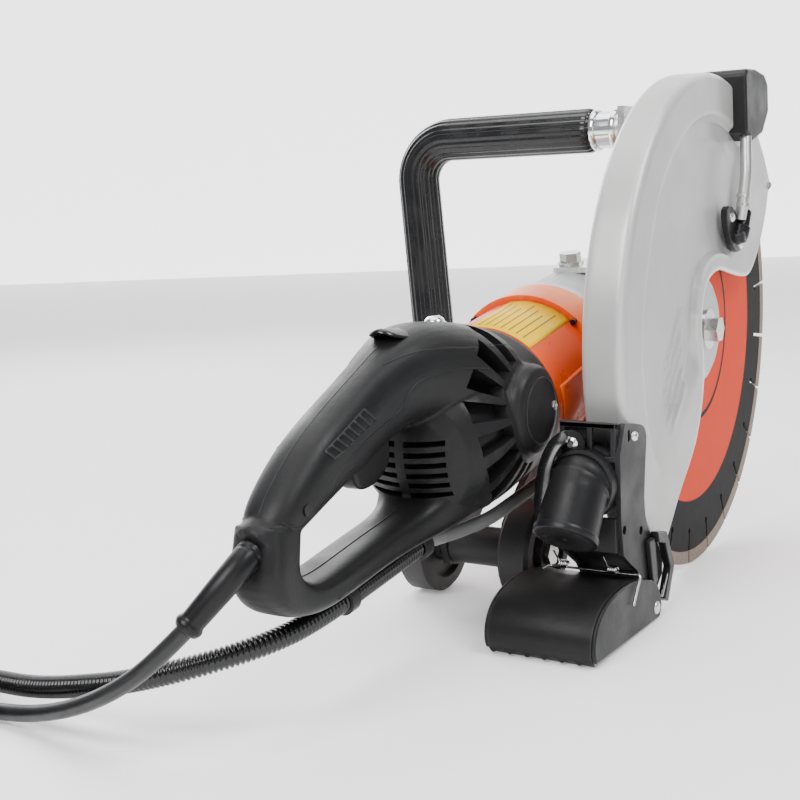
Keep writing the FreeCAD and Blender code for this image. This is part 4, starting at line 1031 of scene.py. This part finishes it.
def handle_details(cover):
    """The soft overmould's edge, eight grip ribs in their frame, the seam and the side screw."""
    tree = surface_of(cover)
    edge = [(-437, 24), (-430, 17), (-419, 18), (-408, 23), (-394, 31), (-372, 38), (-350, 42),
            (-331, 43), (-322, 46), (-316, 51), (-306, 56), (-288, 57), (-268, 53), (-250, 47)]
    upper = [(-322, 71.5), (-300, 72.5), (-280, 69), (-258, 62.5), (-236, 57), (-219, 53)]
    for side, name in ((1, "right"), (-1, "left")):
        direction = ACROSS * side
        for label, outline in (("edge", edge), ("crease", upper)):
            points = [motor(a, -side * 80, b) for a, b in smoothed(outline, 3)]
            bead(f"grip_{label}_{name}", tree, points, direction, 0.55, SMOOTH_PLASTIC, -0.1)
        for index in range(8):
            share = index / 7
            low = (-390 + 42 * share, 41.5 + 6.5 * share)
            high = (-395 + 40 * share, 47 + 9.5 * share)
            points = [motor(low[0] + (high[0] - low[0]) * s / 6, -side * 80,
                            low[1] + (high[1] - low[1]) * s / 6) for s in range(7)]
            bead(f"grip_rib_{name}_{index}", tree, points, direction, 0.85, PLASTIC, 0.0)
        frame_line = [(-390, 41.5), (-348, 48), (-355, 56.5), (-395, 47), (-390, 41.5)]
        points = []
        for (a0, b0), (a1, b1) in zip(frame_line, frame_line[1:]):
            points += [motor(a0 + (a1 - a0) * s / 8, -side * 80, b0 + (b1 - b0) * s / 8)
                       for s in range(8)]
        bead(f"grip_frame_{name}", tree, points, direction, 0.6, SMOOTH_PLASTIC, -0.1)
    back = [motor(-440 + 134 * step / 40, 0, 130) for step in range(41)]
    bead("seam_back", tree, back, -MOTOR_UP, 0.45, SMOOTH_PLASTIC, -0.2)
    bar_top = [motor(-412 + 100 * step / 30, 0, 0) for step in range(31)]
    bar_hits = [tree.ray_cast(point, -MOTOR_UP, 0.08)[0] for point in bar_top]
    mesh = bmesh.new()
    sweep(mesh, [hit for hit in bar_hits if hit], lambda index: circle(0.45, 8), ACROSS)
    piece("seam_bar", mesh, SMOOTH_PLASTIC, "saw_body", 180)
    ring_points = [motor(a, -80, b) for a, b in ring_outline(*BOSS, 21, 48)]
    bead("boss_ring", tree, ring_points + ring_points[:1], ACROSS, 0.6, SMOOTH_PLASTIC, -0.15)
    screw = laid_on(tree, [motor(-197, -80, 6)], ACROSS, 0.0)[0]
    turned("cover_screw", [(-1, 0), (-1, 3.4), (0.5, 3.3), (1.1, 2.4), (1.1, 1.1), (0.2, 0.8),
           (0.2, 0)], screw, -ACROSS, 24, ZINC, "saw_body", 40)


def top_flap():
    """The soft leaf on the cover's top and the domed screw in front of it."""
    outline = rounded([(-306, -4), (-302, -10), (-270, -15), (-258, -8), (-258, 8), (-270, 15),
                       (-302, 10), (-306, 4)], 2)
    mesh = bmesh.new()
    layers = []
    for lift, shrink in ((-2.0, 0.94), (-1.0, 1.0), (0.2, 0.97), (0.7, 0.86)):
        layer = []
        for along, across in outline:
            share = (along + 306) / 48
            height = 86.5 - 8.5 * share ** 0.8 - 0.03 * across ** 2
            layer.append(motor(-282 + (along + 282) * shrink, across * shrink, height + lift))
        layers.append(layer)
    skin(mesh, layers)
    piece("top_leaf", mesh, RUBBER, "saw_body", 50, ["top_flap"])
    turned("cover_dome_screw", [(-4, 0), (-4, 8.5), (0, 8.5), (0.6, 7), (3.6, 6), (5.4, 4), (6, 0)],
           motor(-240, 0, 71), MOTOR_UP, 40, CHROME, "saw_body", 40)


cover = handle_body()
cut_by(cover, vent_cutters(), "vents")
cover_liner()
handle_details(cover)
top_flap()


def trigger_lever():
    """The finger lever, rounded where the finger pulls it."""
    outline = [(-357, 30), (-359, 16), (-356, 8), (-346, 4.5), (-334, 5), (-323, 9), (-318, 17),
               (-318, 30), (-330, 34), (-350, 33)]
    cut_plate("finger_lever", rounded(outline, 2), -6.5, 6.5, SMOOTH_PLASTIC, "trigger",
              (2.4, 4, 30), ["trigger"], motor)


trigger_lever()


# ---------------------------------------------------------------- front handle


def fluted_grip():
    """A rubber sleeve with grooves along it, over the top run, the bend and the long leg."""
    corners = [handle(-34, 70, 148), handle(-34, 226, 148), handle(-34, 206.8, -11)]
    line = bent_line(corners, [30], 3)
    flutes = 18
    steps = flutes * 6

    def section(index):
        ends = min(index, len(line) - 1 - index)
        edge = 1.3 * (1 - min(1, ends / 1.0))
        points = []
        for step in range(steps):
            turn_angle = 2 * math.pi * step / steps
            wave = math.cos(turn_angle * flutes)
            radius = 16.5 - edge - 1.0 * max(0.0, -wave - 0.2) ** 0.8
            points.append((radius * math.cos(turn_angle), radius * math.sin(turn_angle)))
        return points

    mesh = bmesh.new()
    sweep(mesh, line, section, Vector((1, 0, 0)))
    piece("fluted_grip", mesh, RUBBER, "saw_body", 75, ["front_handle_grip"])
    mesh = bmesh.new()
    for end, out in ((handle(-34, 70, 148), -ACROSS), (handle(-34, 54, 148), -ACROSS)):
        lathe(mesh, [(0, 12), (0, 14.6), (1, 15.2), (3.4, 15.2), (4.4, 14.6), (4.4, 12)], end, out, 64)
    piece("handle_end_rings", mesh, CHROME, "saw_body", 40)


fluted_grip()


# ---------------------------------------------------------------- dust housing, outlet and cap

ELBOW = at(-216, 4, -76)
OUTLET = Vector((-0.58, 0.02, -0.81)).normalized()
CHEEK = [
    (-208, -37), (-171, -43), (-163, -47), (-160, -54), (-163, -70), (-166, -100), (-157, -118),
    (-144, -123), (-128, -149), (-146, -162), (-149, -172), (-156, -175.2), (-163, -172),
    (-165, -160), (-176, -140), (-192, -130), (-206, -120),
]


def upright_box(mesh, back, front, near, far, low, high):
    """A block along the saw's own directions, in millimetres from the blade's centre."""
    corners = []
    for height in (low, high):
        corners += [at(back, near, height), at(back, far, height), at(front, far, height),
                    at(front, near, height)]
    box_between(mesh, corners)


def dust_housing():
    """Two cheeks, a ribbed rear wall with an open frame on top, and the outlet's collar."""
    slots = [ring_outline(-201, -106, 2.8), ring_outline(-172, -113, 2.8),
             [(-193.5, -44), (-190.5, -44), (-190, -50), (-193.5, -51)]]
    cheek = rounded(CHEEK, 1)
    edge = (0.7, 2, 30)
    cut_plate("dust_cheek_right", cheek, -20, -16.5, PLASTIC, "guard", edge, ["dust_bracket"],
              holes=slots)
    cut_plate("dust_cheek_left", cheek, 19.5, 23, PLASTIC, "guard", edge)
    mesh = bmesh.new()
    for low, high in ((-41, -37.5), (-62, -58.5), (-120, -98)):
        upright_box(mesh, -208, -203.5, -17, 20, low, high)
    for near, far in ((-17, -13.5), (-1.5, 2.0), (16.5, 20)):
        upright_box(mesh, -207.8, -204, near, far, -59, -40)
    upright_box(mesh, -204.5, -203, 1, 17.5, -59.5, -40)
    box_between(mesh, [at(-208, -17, -41), at(-208, 20, -41), at(-171, 20, -47.5),
                       at(-171, -17, -47.5), at(-208, -17, -37.3), at(-208, 20, -37.3),
                       at(-171, 20, -43.8), at(-171, -17, -43.8)])
    plate(mesh, [(-206, -116), (-203, -115), (-166, -139), (-163, -152), (-166, -152), (-169.5, -141)],
          -17, 20)
    rear = piece("dust_frame", mesh, PLASTIC, "guard", 35)
    bevelled(rear, 0.6, 2, 30)
    mesh = bmesh.new()
    lathe(mesh, [(-26, 19.8), (-26, 22.4), (-10, 22.4), (-2, 22.2), (0, 21.8), (0, 19.8)],
          ELBOW + Vector((0.001, 0, 0)), (-1, 0, 0), 64)
    lathe(mesh, [(-14, 19.8), (-14, 23.9), (-11, 23.9), (-10, 23.2), (-10, 19.8)],
          ELBOW + Vector((0.001, 0, 0)), (-1, 0, 0), 64)
    piece("outlet_collar", mesh, PLASTIC, "guard", 40)
    turned("tether_boss", [(0, 0), (0, 6.2), (3.4, 6.0), (4.2, 5.4), (4.2, 0)], at(-208, 9, -50),
           (-1, 0, 0), 32, PLASTIC, "guard", 40)
    for name, start, out, size in (("tether_screw", at(-212.6, 9, -50), (-1, 0, 0), 4.6),
                                   ("cheek_screw", at(-184, -20, -49), (0, -1, 0), 3.4)):
        turned(name, [(-2, 0), (-2, size), (0.8, size * 0.96), (2.2, size * 0.7),
               (2.6, size * 0.35), (1.2, size * 0.22), (1.2, 0)], start, out, 32, ZINC, "guard",
               40)


def dust_pipe():
    """The outlet: a stub out of the collar with a double bead, a bend, and the slanting spout."""
    line = bent_line([ELBOW + Vector((0.022, 0, 0)), ELBOW + Vector((-0.001, 0, 0)),
                      ELBOW + OUTLET * 0.034], [13], 1)

    def section(index):
        radius = 19.5
        for centre in (20, 24):
            gap = abs(index - centre)
            if gap < 2:
                radius += 1.1 * (1 - gap / 2)
        return circle(radius, 64)

    mesh = bmesh.new()
    sweep(mesh, line, section, ACROSS)
    piece("dust_pipe", mesh, PLASTIC, "guard", 60, ["dust_elbow"])
    mesh = bmesh.new()
    tip = ELBOW + OUTLET * 0.0343
    lathe(mesh, [(-2.4, 19.7), (-2.4, 20.4), (-2, 20.7), (0.6, 20.7), (2.0, 20.3), (2.6, 19.3),
                 (2.2, 16.5), (2.7, 0), (0, 0), (0, 19.9)], tip, OUTLET, 72)
    lathe(mesh, [(2.2, 0), (2.2, 1.6), (3.0, 1.2), (3.0, 0)], tip, OUTLET, 20)
    piece("spout_cap", mesh, SMOOTH_PLASTIC, "dust_cap", 40, ["dust_cap"])


def cap_strap():
    """The wide strap from its screw round the outlet's left to the cap."""
    route = [(-212.6, 8, -49), (-215, 13, -45.5), (-221, 18, -50), (-226.5, 21.5, -61),
             (-231, 22, -73), (-235.5, 21, -85), (-239, 18, -93), (-243, 14, -98)]
    line = evenly([at(*point) for point in smoothed(route, 3)], 1.2)
    facing = Vector((-0.77, 0.06, 0.64))
    rings = []
    for index, (heading, _, _) in enumerate(frames_along(line, ACROSS)):
        share = index / (len(line) - 1)
        half = 5.4 - 0.8 * math.sin(math.pi * share)
        normal = (facing - heading * facing.dot(heading)).normalized()
        wide = heading.cross(normal)
        section = [(-half, -0.6), (-half + 0.5, -1.0), (half - 0.5, -1.0), (half, -0.6),
                   (half, 0.6), (half - 0.5, 1.0), (-half + 0.5, 1.0), (-half, 0.6)]
        rings.append([line[index] + (wide * a + normal * b) * MM for a, b in section])
    mesh = bmesh.new()
    skin(mesh, rings)
    lathe(mesh, [(-0.9, 0), (-0.9, 8.4), (0.9, 8.4), (0.9, 0)], at(-213.3, 9, -50), (-1, 0, 0), 36)
    piece("cap_strap", mesh, STRAP_RUBBER, "guard", 50, ["cap_tether"])


def latch():
    """The spring latch below the cheek: a black lever frame and its bent wire."""
    frame_outline = [(-157, -117), (-139, -121), (-124, -147), (-137, -170), (-144, -166),
                     (-133, -147), (-143, -128), (-154, -125)]
    cut_plate("latch_frame", frame_outline, -26, -20.6, SMOOTH_PLASTIC, "guard", (0.9, 2, 30))
    lever = [(-166, -122), (-156, -121), (-150, -152), (-158, -156)]
    cut_plate("latch_lever", lever, -23.6, -20.2, SMOOTH_PLASTIC, "guard", (0.8, 2, 30))
    wire = bent_line([at(-146, -24.5, -164), at(-130, -24.5, -146), at(-137, -24.5, -127)], [3], 1)
    mesh = bmesh.new()
    sweep(mesh, wire, lambda index: circle(0.8, 10))
    piece("latch_wire", mesh, CHROME, "guard", 60)


def spring_wire():
    """The bent wire that presses the hood down: a bar with hooked legs and two small coils."""
    mesh = bmesh.new()
    bar = [at(-201, 37, -138), at(-190, 37, -138), at(-190, -26.2, -137.5), at(-203, -26.2, -154)]
    sweep(mesh, bent_line(bar, [2, 2], 1), lambda index: circle(0.85, 10))
    for y in (24, -10):
        turns = []
        for step in range(64):
            angle = 2 * math.pi * step / 16
            turns.append(at(-190 + 2.2 * math.cos(angle), y + step * 0.09, -136 + 2.2 * math.sin(angle)))
        turns.append(at(-196, y + 7, -126))
        sweep(mesh, turns, lambda index: circle(0.7, 8), ACROSS)
    piece("spring_wire", mesh, CHROME, "guard", 60, ["hood_spring"])


HOOD_TOP = [
    (-259.5, -174.2), (-262, -168), (-261, -159), (-256, -151), (-248, -145), (-236, -141),
    (-220, -139.3), (-203, -139.6), (-188, -141.5), (-174, -145),
]
HOOD_EAR = [(-162, -148.5), (-153, -154), (-147, -163), (-145.5, -170), (-149, -177.3)]
HOOD_INSIDE = [
    (-256, -178), (-258.6, -168), (-257.5, -160), (-253.5, -153), (-246.5, -148), (-235.5, -144.2),
    (-220, -142.5), (-203, -142.8), (-188, -144.6), (-176, -148),
]
SCALLOP_PITCH = 11.5
SCALLOP_DEPTH = 2.4


def hood_skirt():
    """The skirt: a domed top, two side walls with rounded ears, and a scalloped rear lip."""
    mesh = bmesh.new()
    right, left, wall = -24.5, 50.0, 3.0
    outer = smoothed(HOOD_TOP, 2)
    inner = smoothed(HOOD_INSIDE, 2)
    steps = 44
    first_across = right + wall - 0.3
    last_across = left - wall + 0.3
    grid = []
    under = []
    for step in range(steps + 1):
        across = first_across + (last_across - first_across) * step / steps
        row = []
        for index, (x, z) in enumerate(outer):
            scallop = 0.0
            if index == 0:
                wave = math.cos(2 * math.pi * (across - right) / SCALLOP_PITCH)
                scallop = -SCALLOP_DEPTH * max(0.0, wave)
            row.append(mesh.verts.new(at(x, across, z + scallop)))
        grid.append(row)
        under.append([mesh.verts.new(at(x, across, max(z, -177.0))) for x, z in inner])
    for first, second in zip(grid, grid[1:]):
        for index in range(len(first) - 1):
            mesh.faces.new((first[index], first[index + 1], second[index + 1], second[index]))
    for first, second in zip(under, under[1:]):
        for index in range(len(first) - 1):
            mesh.faces.new((first[index], second[index], second[index + 1], first[index + 1]))
    for rows in (0, -1):
        for index in range(min(len(outer), len(inner)) - 1):
            mesh.faces.new((grid[rows][index], under[rows][index], under[rows][index + 1],
                            grid[rows][index + 1]))
    for first, second, low_first, low_second in zip(grid, grid[1:], under, under[1:]):
        mesh.faces.new((first[0], second[0], low_second[0], low_first[0]))
        mesh.faces.new((first[-1], second[-1], low_second[-1], low_first[-1]))
    piece("hood_top", mesh, PLASTIC, "hood", 40, ["hood"])
    for name, low, high in (("right", right, right + wall), ("left", left - wall, left)):
        cut_plate(f"hood_side_{name}", outer + HOOD_EAR, low, high, PLASTIC, "hood", (1.4, 3, 50))
    turned("hood_rivet", [(-2, 0), (-2, 4.4), (0.4, 4.3), (1.2, 3.4), (1.6, 0)],
           at(-156, right, -169), -ACROSS, 32, ZINC, "guard", 50, ["hood_pin"])


dust_housing()
dust_pipe()
cap_strap()
latch()
spring_wire()
hood_skirt()


# ---------------------------------------------------------------- motor housing's trim


def housing_label():
    """A plain yellow label on the barrel's top right, with generic dark rows that aren't text."""
    film = bmesh.new()
    rows = bmesh.new()
    radius = 52.75

    def on_barrel(along, degrees, lift=0.0):
        angle = math.radians(degrees)
        reach = radius + lift
        return motor(along, reach * math.cos(angle), reach * math.sin(angle))

    def patch(mesh, start, end, low, high, lift):
        steps = 16
        first = []
        second = []
        for step in range(steps + 1):
            degrees = low + (high - low) * step / steps
            first.append(mesh.verts.new(on_barrel(start, degrees, lift)))
            second.append(mesh.verts.new(on_barrel(end, degrees, lift)))
        for index in range(steps):
            mesh.faces.new((first[index], second[index], second[index + 1], first[index + 1]))

    patch(film, -182, -112, 80, 132, 0)
    made = piece("label_film", film, label_film(), "saw_body", 180)
    modify(made, "SOLIDIFY", thickness=0.2 * MM, offset=0)
    for row in range(7):
        patch(rows, -177, -124 - 5 * (row % 3), 86 + 6 * row, 86.8 + 6 * row, 0.25)
    dark = Finish("label_rows", (0.12, 0.08, 0.004), 0.5)
    dark.bump(dark.noise(200), 0.02)
    made = piece("label_rows", rows, dark, "saw_body", 180)
    modify(made, "SOLIDIFY", thickness=0.1 * MM, offset=0)


def housing_panel():
    """The raised panel on the orange barrel's right side."""
    mesh = bmesh.new()
    panel = [(-176, 12), (-120, 14), (-120, -22), (-176, -26)]
    layers = []
    for lift, shrink in ((-1.5, 1.0), (0.7, 1.0), (1.3, 0.95)):
        layer = []
        for start, end in zip(panel, panel[1:] + panel[:1]):
            for step in range(8):
                along = start[0] + (end[0] - start[0]) * step / 8
                up = start[1] + (end[1] - start[1]) * step / 8
                along = -148 + (along + 148) * shrink
                up = -6 + (up + 6) * shrink
                reach = 52.5 + lift
                layer.append(motor(along, -math.sqrt(reach ** 2 - up ** 2), up))
        layers.append(layer)
    skin(mesh, layers)
    piece("housing_panel", mesh, ORANGE, "saw_body", 40)


housing_label()
housing_panel()

bpy.context.view_layer.update()
